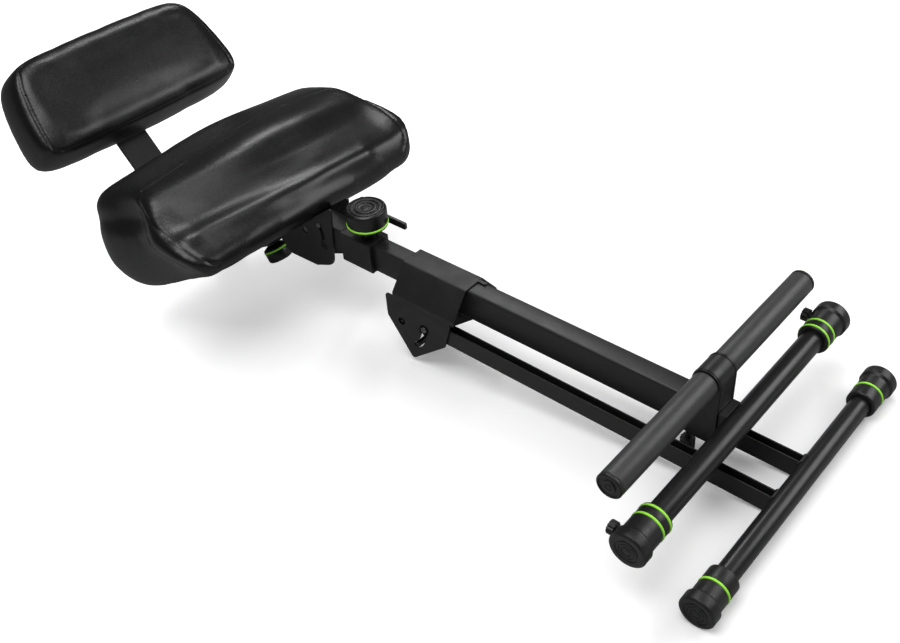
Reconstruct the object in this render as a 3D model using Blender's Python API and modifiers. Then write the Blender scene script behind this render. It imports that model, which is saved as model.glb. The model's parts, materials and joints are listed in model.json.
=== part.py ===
"""Folding keyboard stool: telescoping tube, folding rear leg, folding seat with backrest, sliding footrest.

The model is laid out in the main tube's own frame: X runs down the tube to the feet, Z stands square to it,
and the origin is the rear crossbar's axis. One empty then lays the folded stool on the floor, where it rests
on the rear crossbar's caps and on the bend of the backrest's bar.
"""
import math

import bmesh
import bpy
from mathutils import Vector

MM = 0.001
FIT = 0.3 * MM
OVERRUN = 4 * MM
MERGE = 0.01 * MM
ROUND_STEPS = 24
SMALL_STEPS = 16
BEND_STEPS = 4
SMOOTH_ANGLE = math.radians(32)
SIDES = (("near", -1), ("far", 1))

# Main tube and the tube that slides out of it
TUBE_WIDTH = 30 * MM
TUBE_DEPTH = 49 * MM
TUBE_WALL = 1.6 * MM
TUBE_CORNER = 4 * MM
TUBE_MIDDLE_Z = 47.5 * MM
TUBE_TOP_END_X = -604 * MM
TUBE_FOOT_END_X = -101.5 * MM
INNER_WALL = 1.6 * MM
INNER_HEAD_END_X = -724 * MM
INNER_LENGTH = 322 * MM

# Crossbars, their caps, rings and levelling screws
REAR_BAR_RADIUS = 13.5 * MM
REAR_BAR_HALF = 222 * MM
FRONT_BAR_RADIUS = 15 * MM
FRONT_BAR_HALF = 236 * MM
FRONT_BAR_X = -80.6 * MM
FRONT_BAR_Z = 56.7 * MM
BAR_WALL = 1.8 * MM
CAP_END = 4 * MM
CAP_WALL = 5.4 * MM
CAP_FLARE = 3 * MM
CAP_FLARE_LENGTH = 15 * MM
CAP_CHAMFER = 1.6 * MM
CAP_LENGTH = 60 * MM
CAP_DISC_RADIUS = 15.5 * MM
CAP_DISC_GROOVE = 2.4 * MM
CAP_DISC_DEPTH = 1.1 * MM
RING_WIDTH = 3.2 * MM
RING_DEPTH = 1.3 * MM
RING_PROUD = 0.7 * MM
FRONT_RING_INSETS = (51 * MM, 37 * MM)
REAR_RING_INSETS = (33 * MM,)
SCREW_INSET = 14 * MM
SCREW_RADIUS = 3 * MM
SCREW_KNOB_RADIUS = 9 * MM
SCREW_KNOB_LENGTH = 9 * MM
SCREW_KNOB_GAP = 4 * MM

# Socket between the main tube and the front crossbar
SOCKET_HALF_WIDTH = 16.5 * MM
SOCKET_HEIGHT = 45 * MM
SOCKET_REACH = 10 * MM

# Folding hinge: cover, cheeks on the tube, lock plates on the rear leg
COVER_HEAD_X = -601 * MM
COVER_FOOT_X = -487 * MM
COVER_SHEET = 2.4 * MM
COVER_TOP_HALF = 18 * MM
COVER_FLARE_HALF = 47.6 * MM
COVER_FLARE_Z = 38 * MM
COVER_LIP = 8.5 * MM
COVER_BEND = 4 * MM
COVER_LUG_LENGTH = 13 * MM
COVER_LUG_WIDTH = 5 * MM
LEG_PIVOT_X = -591 * MM
LEG_PIVOT_Z = -12.4 * MM
LEG_PIVOT_RADIUS = 5 * MM
LEG_LOCK_REACH = 41.5 * MM
LEG_LOCK_ANGLE = math.radians(-51)
LEG_FOLD_RANGE = math.radians(52)
LEG_PIN_RADIUS = 4.4 * MM
LEG_PLATE_SHEET = 3 * MM
LEG_PLATE_CORNER = 5 * MM
LEG_LOCK_HOLE_RADIUS = 7.8 * MM
LEG_PLATE_HEAD = 27.5 * MM
LEG_PLATE_TOP_RISE = 40 * MM
LEG_PLATE_FOOT = 94 * MM
LEG_PLATE_FOOT_TOP = 34 * MM
LEG_PLATE_FOOT_DROP = 9 * MM
LEG_PLATE_FOOT_SET = 81 * MM
LEG_PLATE_TIP_X = 16 * MM
LEG_PLATE_TIP_DROP = 63.2 * MM
CHEEK_SHEET = 3 * MM
CHEEK_TOP_Z = 60 * MM
CHEEK_EYE_RADIUS = 13 * MM
CHEEK_PIN_EYE_RADIUS = 8.5 * MM
CHEEK_FOOT_X = -520 * MM
BUSH_WALL = 4 * MM

# Rear leg's rails
RAIL_WIDTH = 13.7 * MM
RAIL_DEPTH = 29.4 * MM
RAIL_WALL = 2 * MM
RAIL_OUTER_HALF = 41.3 * MM
RAIL_TOP_Z = 7.6 * MM
RAIL_HEAD_X = -528 * MM
RAIL_SLOPE = math.radians(0.46)

# Head: sleeve, tongue, knob and lever
SLEEVE_HEAD_X = -727 * MM
SLEEVE_FOOT_X = -667 * MM
SLEEVE_WIDTH = 40 * MM
SLEEVE_DEPTH = 49.8 * MM
SLEEVE_MIDDLE_Z = 47.9 * MM
SLEEVE_EDGE = 2 * MM
HEAD_KNOB_X = -685 * MM
HEAD_KNOB_RADIUS = 30 * MM
HEAD_KNOB_TOP_RADIUS = 25 * MM
HEAD_KNOB_NECK_RADIUS = 18 * MM
HEAD_KNOB_FOOT_RADIUS = 12 * MM
HEAD_KNOB_HEIGHT = 51 * MM
HEAD_KNOB_RING_HEIGHT = 25 * MM
HEAD_KNOB_SKIRT = 10 * MM
HEAD_KNOB_STEP = 1.6 * MM
LEVER_WIDTH = 11 * MM
LEVER_SHEET = 5 * MM
LEVER_FOOT_X = -642 * MM
LEVER_Z = 87 * MM
LEVER_BOSS_X = -724 * MM
LEVER_BOSS_Z = 92 * MM
LEVER_BOSS_RADIUS = 13 * MM
LEVER_GAP = 1.2 * MM
TONGUE_HALF_WIDTH = 16.2 * MM
TONGUE_EYE_RADIUS = 12 * MM
TONGUE_PIN_MARGIN = 6.5 * MM

# Seat hinge
SEAT_PIVOT_X = -807 * MM
SEAT_PIVOT_Z = 44.7 * MM
SEAT_PIVOT_RADIUS = 5 * MM
SEAT_TILT = math.radians(30)
SEAT_FOLD_RANGE = math.radians(52)
SEAT_LOCK_REACH = 41 * MM
SEAT_LOCK_ANGLE = math.radians(33)
SEAT_PIN_RADIUS = 4 * MM
SEAT_LOCK_HOLE_RADIUS = 8 * MM
SEAT_PLATE_SHEET = 3 * MM
SEAT_PLATE_LOBE_RADIUS = 62 * MM
SEAT_PLATE_FRONT = 91 * MM
SEAT_PLATE_FRONT_RISE = 23 * MM
SEAT_PLATE_REAR = 78 * MM
SEAT_PLATE_SET = 8 * MM
SEAT_PLATE_REAR_DROP = 32 * MM
SEAT_PLATE_CORNER = 3 * MM
SEAT_PLATE_TOP = 12.4 * MM
MOUNT_SHEET = 2.7 * MM
MOUNT_HALF_WIDTH = 62 * MM
MOUNT_REAR = 66 * MM
MOUNT_FRONT = 10 * MM
MOUNT_BOLT_RADIUS = 5 * MM
MOUNT_BOLT_INSET = 14 * MM
MOUNT_BOLT_HEIGHT = 3 * MM

# Seat
BOARD_SHEET = 12 * MM
SEAT_BOARD_REAR = 168 * MM
SEAT_BOARD_FRONT = 16 * MM
SEAT_BOARD_HALF = 190 * MM
SEAT_BOARD_CORNER = 30 * MM
CUSHION_HALF = 234 * MM
CUSHION_UNDER = 16 * MM
CUSHION_FRONT_BOW = 8 * MM
SEAT_WALL_REAR = 210 * MM
SEAT_TOP_HEIGHT = 203 * MM

# Backrest
BAR_WIDTH = 60 * MM
BAR_SHEET = 6 * MM
BAR_MIDDLE_N = -3 * MM
BAR_FRONT = 96 * MM
BAR_BEND_REAR = 353 * MM
BAR_BEND_RADIUS = 16 * MM
BACK_RECLINE = math.radians(12.4)
BAR_UP_LENGTH = 352 * MM
CHANNEL_SHEET = 3 * MM
CHANNEL_REAR = 182 * MM
CHANNEL_FRONT = 92 * MM
CHANNEL_FLANGE = 14 * MM
BACK_BOARD_LOW = 246 * MM
BACK_BOARD_HIGH = 378 * MM
BACK_BOARD_HALF_LOW = 172 * MM
BACK_BOARD_HALF_HIGH = 148 * MM
BACK_BOARD_CORNER = 32 * MM
BACK_LOW = 233 * MM
BACK_HIGH = 403 * MM
BACK_HALF_LOW = 206 * MM
BACK_HALF_HIGH = 176 * MM
BACK_SEAM = 102 * MM
BACK_CROWN = 9 * MM
BACK_FLARE = 6 * MM
BACK_SCREW_RADIUS = 5 * MM
BACK_SCREW_HEIGHT = 3 * MM
BACK_SCREW_PITCH = 60 * MM

# Knob under the seat
SEAT_KNOB_REAR = 140 * MM
SEAT_KNOB_RADIUS = 21 * MM
SEAT_KNOB_TOP_RADIUS = 16 * MM
SEAT_KNOB_HEIGHT = 36 * MM
SEAT_KNOB_RING_HEIGHT = 17 * MM
SEAT_KNOB_NECK_RADIUS = 13 * MM
SEAT_KNOB_FOOT_RADIUS = 9 * MM
SEAT_KNOB_SKIRT = 8 * MM

# Footrest
FOOTREST_X = -120.6 * MM
FOOTREST_Z = 110.7 * MM
FOOTREST_HALF = 217.7 * MM
GRIP_RADIUS = 16.7 * MM
FOOTREST_BAR_RADIUS = 11 * MM
FOOTREST_BAR_WALL = 1.5 * MM
COLLAR_HALF_WIDTH = 19.5 * MM
COLLAR_SHELL = 1.9 * MM
COLLAR_TAIL_LENGTH = 17 * MM
COLLAR_TAIL_HALF = 12 * MM
COLLAR_UNDER = 4 * MM
PLUG_END = 4.5 * MM
PLUG_STEP = 1.5 * MM
FOOTREST_KNOB_SETBACK = 25.4 * MM
FOOTREST_KNOB_RADIUS = 10 * MM
FOOTREST_KNOB_HEIGHT = 20 * MM
FOOTREST_KNOB_GAP = 29 * MM
FOOTREST_STEM_RADIUS = 4 * MM

# Colours
BLACK_METAL = (0.022, 0.022, 0.023, 1)
BLACK_PLASTIC = (0.018, 0.018, 0.019, 1)
BLACK_FOAM = (0.024, 0.024, 0.025, 1)
BLACK_COVER = (0.013, 0.013, 0.014, 1)
DARK_BOARD = (0.03, 0.028, 0.027, 1)
BARE_STEEL = (0.11, 0.11, 0.115, 1)
GREEN = (0.26, 0.77, 0.06, 1)

# Sizes that follow from the ones above
INNER_WIDTH = TUBE_WIDTH - 2 * TUBE_WALL - 2 * FIT
INNER_DEPTH = TUBE_DEPTH - 2 * TUBE_WALL - 2 * FIT
LEG_PLATE_INNER_Y = RAIL_OUTER_HALF + FIT
LEG_PLATE_OUTER_Y = LEG_PLATE_INNER_Y + LEG_PLATE_SHEET
CHEEK_INNER_Y = TUBE_WIDTH / 2 + FIT
CHEEK_OUTER_Y = CHEEK_INNER_Y + CHEEK_SHEET
COVER_TOP_Z = TUBE_MIDDLE_Z + TUBE_DEPTH / 2 + FIT + COVER_SHEET
LEG_PIN_X = LEG_LOCK_REACH * math.cos(LEG_LOCK_ANGLE)
LEG_PIN_Z = LEG_LOCK_REACH * math.sin(LEG_LOCK_ANGLE)
SEAT_PLATE_INNER_Y = TONGUE_HALF_WIDTH + FIT
SEAT_PLATE_OUTER_Y = SEAT_PLATE_INNER_Y + SEAT_PLATE_SHEET
SEAT_PIN_X = SEAT_LOCK_REACH * math.cos(SEAT_LOCK_ANGLE)
SEAT_PIN_Z = SEAT_LOCK_REACH * math.sin(SEAT_LOCK_ANGLE)
MOUNT_UNDER = SEAT_PLATE_TOP + FIT
MOUNT_TOP = MOUNT_UNDER + MOUNT_SHEET
BOARD_UNDER = MOUNT_TOP + FIT
CHANNEL_INNER_UNDER = BAR_MIDDLE_N - BAR_SHEET / 2 - FIT
CHANNEL_UNDER = CHANNEL_INNER_UNDER - CHANNEL_SHEET
CHANNEL_INNER_HALF = BAR_WIDTH / 2 + FIT
BACK_BOARD_FACE = BAR_SHEET / 2 + FIT + BOARD_SHEET
REAR_CAP_RADIUS = REAR_BAR_RADIUS + FIT + CAP_WALL + CAP_FLARE

# The soft forms, in shares of their named sizes
# Each seat point: back and height at the middle, back and height at the end wall, share of the half width
SEAT_SECTION_SHARES = (
    (-0.867, 0, -0.867, 0, 0.906), (-0.99, 0.182, -0.981, 0.214, 0.974), (-1, 0.535, -1, 0.535, 1),
    (-0.981, 0.909, -0.962, 0.866, 0.949), (-0.8, 0.989, -0.762, 0.898, 0.897),
    (-0.533, 0.925, -0.514, 0.845, 0.88), (-0.343, 0.829, -0.305, 0.791, 0.88),
    (-0.171, 0.797, -0.219, 0.695, 0.906), (-0.105, 0.62, -0.143, 0.545, 0.966),
    (-0.0667, 0.455, -0.0571, 0.406, 1), (0.0381, 0.38, 0.0381, 0.31, 1),
    (0.162, 0.273, 0.124, 0.214, 0.991), (0.238, 0.128, 0.19, 0.107, 0.949), (0.143, 0, 0.114, 0, 0.889),
    (-0.0952, 0, -0.0952, 0, 0.872), (-0.476, 0, -0.476, 0, 0.88))
# Each seat ring: share of the half width, and how far the ring is drawn in
SEAT_RING_SHARES = ((1, 0.5), (1, 0.8), (0.985, 0.95), (0.93, 1), (0.80, 1), (0.55, 1), (0.28, 1), (0, 1))
SEAT_BOW_SHARE = 0.4
# The bracket's lobe: back and down in lobe radii, and the corner's radius
SEAT_LOBE_SHARES = ((-0.28, -0.97, 0.3), (0.42, -1.05, 0.35), (0.82, -0.53, 0.3))
# The backrest: outline across and up; rings by depth, crown, flare and how far the ring is drawn in
BACK_OUTLINE_SHARES = ((-1, -0.5), (-0.97, -0.88), (-0.78, -1), (-0.38, -1.02), (0, -1.025), (0.38, -1.02),
                       (0.78, -1), (0.97, -0.88), (1, -0.5), (1.01, 0), (1, 0.5), (0.95, 0.88), (0.76, 1),
                       (0.38, 1.02), (0, 1.025), (-0.38, 1.02), (-0.76, 1), (-0.95, 0.88), (-1, 0.5),
                       (-1.01, 0))
BACK_RING_SHARES = ((0, 0, 0, 0.55), (0, 0, 0, 0.93), (0.10, 0, 1, 1), (0.45, 0, 1, 1), (0.85, 0, 0, 1),
                    (1, 0, 0, 0.985), (1, 0.7, 0, 0.93), (1, 1, 0, 0.55))


def bend_centre():
    """Centre of the backrest bar's bend, in the main tube's frame."""
    low = BAR_MIDDLE_N + BAR_SHEET / 2 + BAR_BEND_RADIUS
    half_turn = (math.pi / 2 - BACK_RECLINE) / 2
    rear = -BAR_BEND_REAR + (BAR_BEND_RADIUS + BAR_SHEET / 2) * math.tan(half_turn)
    x = SEAT_PIVOT_X + rear * math.cos(SEAT_TILT) - low * math.sin(SEAT_TILT)
    z = SEAT_PIVOT_Z + rear * math.sin(SEAT_TILT) + low * math.cos(SEAT_TILT)
    return x, z


def rest_tilt():
    """Angle that brings the rear caps and the bar's bend down on the same floor."""
    x, z = bend_centre()
    bend_outer = BAR_BEND_RADIUS + BAR_SHEET
    span = math.hypot(x, z)
    return math.asin((bend_outer - REAR_CAP_RADIUS) / span) - math.atan2(z, -x)


def clear_scene():
    for item in list(bpy.data.objects):
        bpy.data.objects.remove(item, do_unlink=True)


def new_collection(name):
    group = bpy.data.collections.new(name)
    bpy.context.scene.collection.children.link(group)
    return group


def new_material(name, colour, roughness, metallic):
    material = bpy.data.materials.new(name)
    material.use_nodes = True
    shader = material.node_tree.nodes["Principled BSDF"]
    shader.inputs["Base Color"].default_value = colour
    shader.inputs["Roughness"].default_value = roughness
    shader.inputs["Metallic"].default_value = metallic
    material.diffuse_color = colour
    return material


def empty(name, parent, place, turn=(0, 0, 0)):
    item = bpy.data.objects.new(name, None)
    item.empty_display_size = 0.05
    PARTS.objects.link(item)
    item.parent = parent
    item.location = place
    item.rotation_euler = turn
    return item


def finish_piece(item, material, parent, place, turn):
    """Gives a new object its material, parent and place, with smooth sides."""
    item.data.materials.clear()
    item.data.materials.append(material)
    item.parent = parent
    item.location = place
    item.rotation_euler = turn
    if item.type == "MESH" and item.data.polygons:
        item.data.shade_smooth()
        item.data.set_sharp_from_angle(angle=SMOOTH_ANGLE)
    return item


def mesh_object(name, mesh, group=None):
    item = bpy.data.objects.new(name, mesh)
    (group or PARTS).objects.link(item)
    return item


def mesh_from(work, name):
    bmesh.ops.recalc_face_normals(work, faces=work.faces)
    mesh = bpy.data.meshes.new(name)
    work.to_mesh(mesh)
    work.free()
    return mesh


def box_mesh(name, low, high, edge=0):
    """A box between two corners, with its edges rounded when an edge radius is given."""
    work = bmesh.new()
    bmesh.ops.create_cube(work, size=1)
    size = Vector(high) - Vector(low)
    middle = (Vector(high) + Vector(low)) / 2
    bmesh.ops.scale(work, vec=size, verts=work.verts)
    bmesh.ops.translate(work, vec=middle, verts=work.verts)
    if edge:
        bmesh.ops.bevel(work, geom=work.edges[:], offset=edge, segments=2, profile=0.5, affect="EDGES",
                        material=-1)
    return mesh_from(work, name)


def filleted(corners, radius, closed=True, steps=BEND_STEPS):
    """Points of an outline or path whose corners are rounded by arcs of one radius, or one each."""
    count = len(corners)
    radii = radius if isinstance(radius, (list, tuple)) else [radius] * count
    points = []
    for index, corner in enumerate(corners):
        here = Vector(corner)
        if (not closed and index in (0, count - 1)) or not radii[index]:
            points.append(here)
            continue
        back = (Vector(corners[index - 1]) - here).normalized()
        ahead = (Vector(corners[(index + 1) % count]) - here).normalized()
        half = back.angle(ahead) / 2
        reach = radii[index] / math.tan(half)
        centre = here + (back + ahead).normalized() * radii[index] / math.sin(half)
        start = here + back * reach - centre
        end = here + ahead * reach - centre
        sweep = start.angle_signed(end)
        for step in range(steps + 1):
            turn = -sweep * step / steps
            cosine, sine = math.cos(turn), math.sin(turn)
            points.append(centre + Vector((start.x * cosine - start.y * sine,
                                           start.x * sine + start.y * cosine)))
    return points


def circle_points(centre, radius, steps):
    return [Vector((centre[0] + radius * math.cos(2 * math.pi * step / steps),
                    centre[1] + radius * math.sin(2 * math.pi * step / steps))) for step in range(steps)]


def flat_object(name, outlines, depth, group=None):
    """A flat outline with any holes, extruded to both sides of its plane, as a closed mesh."""
    curve = bpy.data.curves.new(name, "CURVE")
    curve.dimensions = "2D"
    curve.fill_mode = "BOTH"
    curve.extrude = depth / 2
    for outline in outlines:
        spline = curve.splines.new("POLY")
        spline.points.add(len(outline) - 1)
        for point, spot in zip(spline.points, outline):
            point.co = (spot[0], spot[1], 0, 1)
        spline.use_cyclic_u = True
    holder = bpy.data.objects.new(name, curve)
    bpy.context.scene.collection.objects.link(holder)
    graph = bpy.context.evaluated_depsgraph_get()
    mesh = bpy.data.meshes.new_from_object(holder.evaluated_get(graph))
    bpy.data.objects.remove(holder, do_unlink=True)
    bpy.data.curves.remove(curve)
    work = bmesh.new()
    work.from_mesh(mesh)
    bmesh.ops.remove_doubles(work, verts=work.verts, dist=MERGE)
    bmesh.ops.recalc_face_normals(work, faces=work.faces)
    work.to_mesh(mesh)
    work.free()
    mesh.name = name
    return mesh_object(name, mesh, group)


ALONG_X = (math.pi / 2, 0, math.pi / 2)
ALONG_Y = (math.pi / 2, 0, 0)
ALONG_Z = (0, 0, 0)
FROM_NEAR_END = (math.pi / 2, 0, 0)
FROM_FAR_END = (-math.pi / 2, 0, 0)


def turned_object(name, profile, steps=ROUND_STEPS, group=None):
    """A profile of radius and height turned round Z. The profile runs down its outer side."""
    mesh = bpy.data.meshes.new(name)
    edges = [(index, index + 1) for index in range(len(profile) - 1)]
    if profile[0][0] > 0:
        edges.append((len(profile) - 1, 0))
    mesh.from_pydata([(radius, 0, height) for radius, height in profile], edges, [])
    item = mesh_object(name, mesh, group)
    screw = item.modifiers.new("Turn", "SCREW")
    screw.axis = "Z"
    screw.steps = steps
    screw.render_steps = steps
    screw.use_merge_vertices = True
    screw.merge_threshold = MERGE
    screw.use_smooth_shade = True
    return item


def make_cutter(item, parent, place, turn):
    item.parent = parent
    item.location = place
    item.rotation_euler = turn
    item.hide_render = True
    item.display_type = "WIRE"
    return item


def apply_boolean(item, tool, operation):
    boolean = item.modifiers.new(operation.title(), "BOOLEAN")
    boolean.operation = operation
    boolean.solver = "EXACT"
    boolean.object = tool


def cut(item, tool):
    apply_boolean(item, tool, "DIFFERENCE")


def cylinder_profile(radius, low, high, bore=0):
    """Profile of a plain cylinder, or of a tube when a bore is given."""
    if bore:
        return [(bore, high), (radius, high), (radius, low), (bore, low)]
    return [(0, high), (radius, high), (radius, low), (0, low)]


def rectangle(width, depth, corner):
    x, y = width / 2, depth / 2
    return filleted([(-x, -y), (x, -y), (x, y), (-x, y)], corner)


def square_tube(name, width, depth, wall, corner, start, end, middle_z, material, parent, origin=(0, 0)):
    """A rectangular tube along X, its hollow open at both ends."""
    outlines = [rectangle(width, depth, corner),
                rectangle(width - 2 * wall, depth - 2 * wall, max(corner - wall, wall / 4))]
    item = flat_object(name, outlines, end - start)
    place = ((start + end) / 2 - origin[0], 0, middle_z - origin[1])
    return finish_piece(item, material, parent, place, ALONG_X)


def pin_along_y(name, radius, half, place, material, parent, bore=0):
    item = turned_object(name, cylinder_profile(radius, -half, half, bore), SMALL_STEPS)
    return finish_piece(item, material, parent, place, ALONG_Y)


def ridged_outline(radius, ridges, depth):
    """A knob's outline with evenly spaced finger ridges."""
    points = []
    steps = ridges * 4
    for step in range(steps):
        angle = 2 * math.pi * step / steps
        reach = radius - depth * (0.5 - 0.5 * math.cos(ridges * angle))
        points.append(Vector((reach * math.cos(angle), reach * math.sin(angle))))
    return points


def keyhole(reach, narrow, wide, half_width, hole_radius, steps=8):
    """Outline of a lock slot: a narrow arc about the origin that opens into a round hole."""
    side = 1 if wide > narrow else -1

    def on_arc(radius, angle):
        return radius * Vector((math.cos(angle), math.sin(angle)))

    lead = math.asin(half_width / hole_radius)
    mouth = wide - side * hole_radius * math.cos(lead) / reach
    points = []
    for step in range(steps + 1):
        turn = narrow + math.pi + side * math.pi * step / steps
        points.append(on_arc(reach, narrow) + on_arc(half_width, turn))
    for step in range(1, steps):
        points.append(on_arc(reach + half_width, narrow + (mouth - narrow) * step / steps))
    first = wide - side * (math.pi / 2 - lead)
    sweep = 2 * (math.pi - lead)
    for step in range(2 * steps + 1):
        turn = first + side * sweep * step / (2 * steps)
        points.append(on_arc(reach, wide) + on_arc(hole_radius, turn))
    for step in range(1, steps):
        points.append(on_arc(reach - half_width, mouth + (narrow - mouth) * step / steps))
    return points


def smooth_share(value):
    return value * value * (3 - 2 * value)


def loft(name, rings, levels, material, parent):
    """A soft form through rings of points, closed by a flat face at each end and subdivided."""
    work = bmesh.new()
    layers = [[work.verts.new(point) for point in ring] for ring in rings]
    for low, high in zip(layers, layers[1:]):
        for index in range(len(low)):
            after = (index + 1) % len(low)
            work.faces.new((low[index], low[after], high[after], high[index]))
    work.faces.new(layers[0])
    work.faces.new(layers[-1])
    item = mesh_object(name, mesh_from(work, name))
    finish_piece(item, material, parent, (0, 0, 0), (0, 0, 0))
    softness = item.modifiers.new("Softness", "SUBSURF")
    softness.levels = levels
    softness.render_levels = levels
    return item


def build_tube(root):
    square_tube("main_tube", TUBE_WIDTH, TUBE_DEPTH, TUBE_WALL, TUBE_CORNER, TUBE_TOP_END_X, TUBE_FOOT_END_X,
                TUBE_MIDDLE_Z, METAL, root)


def build_socket(root):
    """The moulded saddle that joins the tube's lower end to the front crossbar."""
    back = TUBE_FOOT_END_X + FIT
    low = (back, -SOCKET_HALF_WIDTH, TUBE_MIDDLE_Z - SOCKET_HEIGHT / 2)
    high = (back + SOCKET_REACH, SOCKET_HALF_WIDTH, TUBE_MIDDLE_Z + SOCKET_HEIGHT / 2)
    socket = mesh_object("front_socket", box_mesh("front_socket", low, high))
    finish_piece(socket, PLASTIC, root, (0, 0, 0), (0, 0, 0))
    reach = SOCKET_HALF_WIDTH + OVERRUN
    tool = turned_object("socket_seat_cutter", cylinder_profile(FRONT_BAR_RADIUS + FIT, -reach, reach),
                         ROUND_STEPS, CUTTERS)
    make_cutter(tool, root, (FRONT_BAR_X, 0, FRONT_BAR_Z), ALONG_Y)
    cut(socket, tool)


def build_cover(root):
    """The hinge's formed sheet saddle, open at both ends, with a small lug at its far top edge."""
    flank = [(-COVER_FLARE_HALF, COVER_FLARE_Z - COVER_LIP), (-COVER_FLARE_HALF, COVER_FLARE_Z),
             (-COVER_TOP_HALF, COVER_TOP_Z), (COVER_TOP_HALF, COVER_TOP_Z),
             (COVER_FLARE_HALF, COVER_FLARE_Z), (COVER_FLARE_HALF, COVER_FLARE_Z - COVER_LIP)]
    path = filleted(flank, COVER_BEND, closed=False)
    work = bmesh.new()
    rows = [[work.verts.new((x, point.x, point.y)) for point in path] for x in (COVER_HEAD_X, COVER_FOOT_X)]
    for index in range(len(path) - 1):
        work.faces.new((rows[0][index], rows[1][index], rows[1][index + 1], rows[0][index + 1]))
    mesh = bpy.data.meshes.new("hinge_cover")
    work.to_mesh(mesh)
    work.free()
    cover = finish_piece(mesh_object("hinge_cover", mesh), METAL, root, (0, 0, 0), (0, 0, 0))
    sheet = cover.modifiers.new("Sheet", "SOLIDIFY")
    sheet.thickness = COVER_SHEET
    sheet.offset = -1
    sheet.use_even_offset = True
    low = (COVER_FOOT_X - COVER_LUG_LENGTH, COVER_TOP_HALF - 2 * COVER_LUG_WIDTH, COVER_TOP_Z - COVER_SHEET)
    high = (COVER_FOOT_X + COVER_LUG_LENGTH, COVER_TOP_HALF - COVER_LUG_WIDTH, COVER_TOP_Z)
    lug = mesh_object("cover_lug_tool", box_mesh("cover_lug_tool", low, high), CUTTERS)
    make_cutter(lug, root, (0, 0, 0), (0, 0, 0))
    apply_boolean(cover, lug, "UNION")


def build_cheeks(root):
    """Plates on the tube's sides that carry the leg's pivot bolt and lock pin."""
    top = CHEEK_TOP_Z - LEG_PIVOT_Z
    right = CHEEK_FOOT_X - LEG_PIVOT_X
    outline = filleted([(-CHEEK_EYE_RADIUS, top), (-CHEEK_EYE_RADIUS, -CHEEK_EYE_RADIUS),
                        (LEG_PIN_X - CHEEK_PIN_EYE_RADIUS, LEG_PIN_Z - CHEEK_PIN_EYE_RADIUS),
                        (LEG_PIN_X + CHEEK_PIN_EYE_RADIUS, LEG_PIN_Z - CHEEK_PIN_EYE_RADIUS),
                        (LEG_PIN_X + 2 * CHEEK_PIN_EYE_RADIUS, -CHEEK_EYE_RADIUS), (right, 0),
                        (right, top)],
                       [LEG_PLATE_CORNER, CHEEK_EYE_RADIUS, CHEEK_PIN_EYE_RADIUS / 2,
                        CHEEK_PIN_EYE_RADIUS / 2, LEG_PLATE_CORNER, LEG_PLATE_CORNER, LEG_PLATE_CORNER])
    holes = [circle_points((0, 0), LEG_PIVOT_RADIUS + FIT, SMALL_STEPS),
             circle_points((LEG_PIN_X, LEG_PIN_Z), LEG_PIN_RADIUS + 2 * FIT, SMALL_STEPS)]
    for side, sign in SIDES:
        item = flat_object("hinge_cheek_" + side, [outline] + holes, CHEEK_SHEET)
        middle = sign * (CHEEK_INNER_Y + CHEEK_SHEET / 2)
        finish_piece(item, METAL, root, (LEG_PIVOT_X, middle, LEG_PIVOT_Z), ALONG_Y)


def build_leg_pins(root):
    """The pivot bolt and lock pin, and the bushes that space the leg's plates from the cheeks."""
    half = LEG_PLATE_OUTER_Y - LEG_PLATE_SHEET / 2
    pin_along_y("leg_pivot_bolt", LEG_PIVOT_RADIUS, half, (LEG_PIVOT_X, 0, LEG_PIVOT_Z), STEEL, root)
    pin_along_y("leg_lock_pin", LEG_PIN_RADIUS, half, (LEG_PIVOT_X + LEG_PIN_X, 0, LEG_PIVOT_Z + LEG_PIN_Z),
                STEEL, root)
    start = CHEEK_OUTER_Y + FIT
    end = LEG_PLATE_INNER_Y - FIT
    for side, sign in SIDES:
        pin_along_y("leg_bush_" + side, LEG_PIVOT_RADIUS + FIT + BUSH_WALL, (end - start) / 2,
                    (LEG_PIVOT_X, sign * (start + end) / 2, LEG_PIVOT_Z), PLASTIC, root,
                    LEG_PIVOT_RADIUS + FIT)


def cap_profile(bar_radius, bar_half, ring_insets):
    """A crossbar's end cap: stepped disc, flared rim, grooves for the rings and a bore for the bar."""
    bore = bar_radius + FIT
    body = bore + CAP_WALL
    rim = body + CAP_FLARE
    floor = bar_half + FIT
    end = floor + CAP_END
    mouth = end - CAP_LENGTH
    profile = [(0, end), (CAP_DISC_RADIUS - CAP_DISC_GROOVE, end),
               (CAP_DISC_RADIUS - CAP_DISC_GROOVE, end - CAP_DISC_DEPTH),
               (CAP_DISC_RADIUS, end - CAP_DISC_DEPTH), (CAP_DISC_RADIUS, end), (rim - CAP_CHAMFER, end),
               (rim, end - CAP_CHAMFER), (rim, end - CAP_FLARE_LENGTH),
               (body, end - CAP_FLARE_LENGTH - CAP_FLARE)]
    for inset in sorted(ring_insets):
        spot = bar_half - inset
        half = RING_WIDTH / 2 + FIT
        profile += [(body, spot + half), (body - RING_DEPTH, spot + half), (body - RING_DEPTH, spot - half),
                    (body, spot - half)]
    return profile + [(body, mouth + CAP_CHAMFER), (body - CAP_CHAMFER, mouth), (bore, mouth), (bore, floor),
                      (0, floor)]


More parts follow.
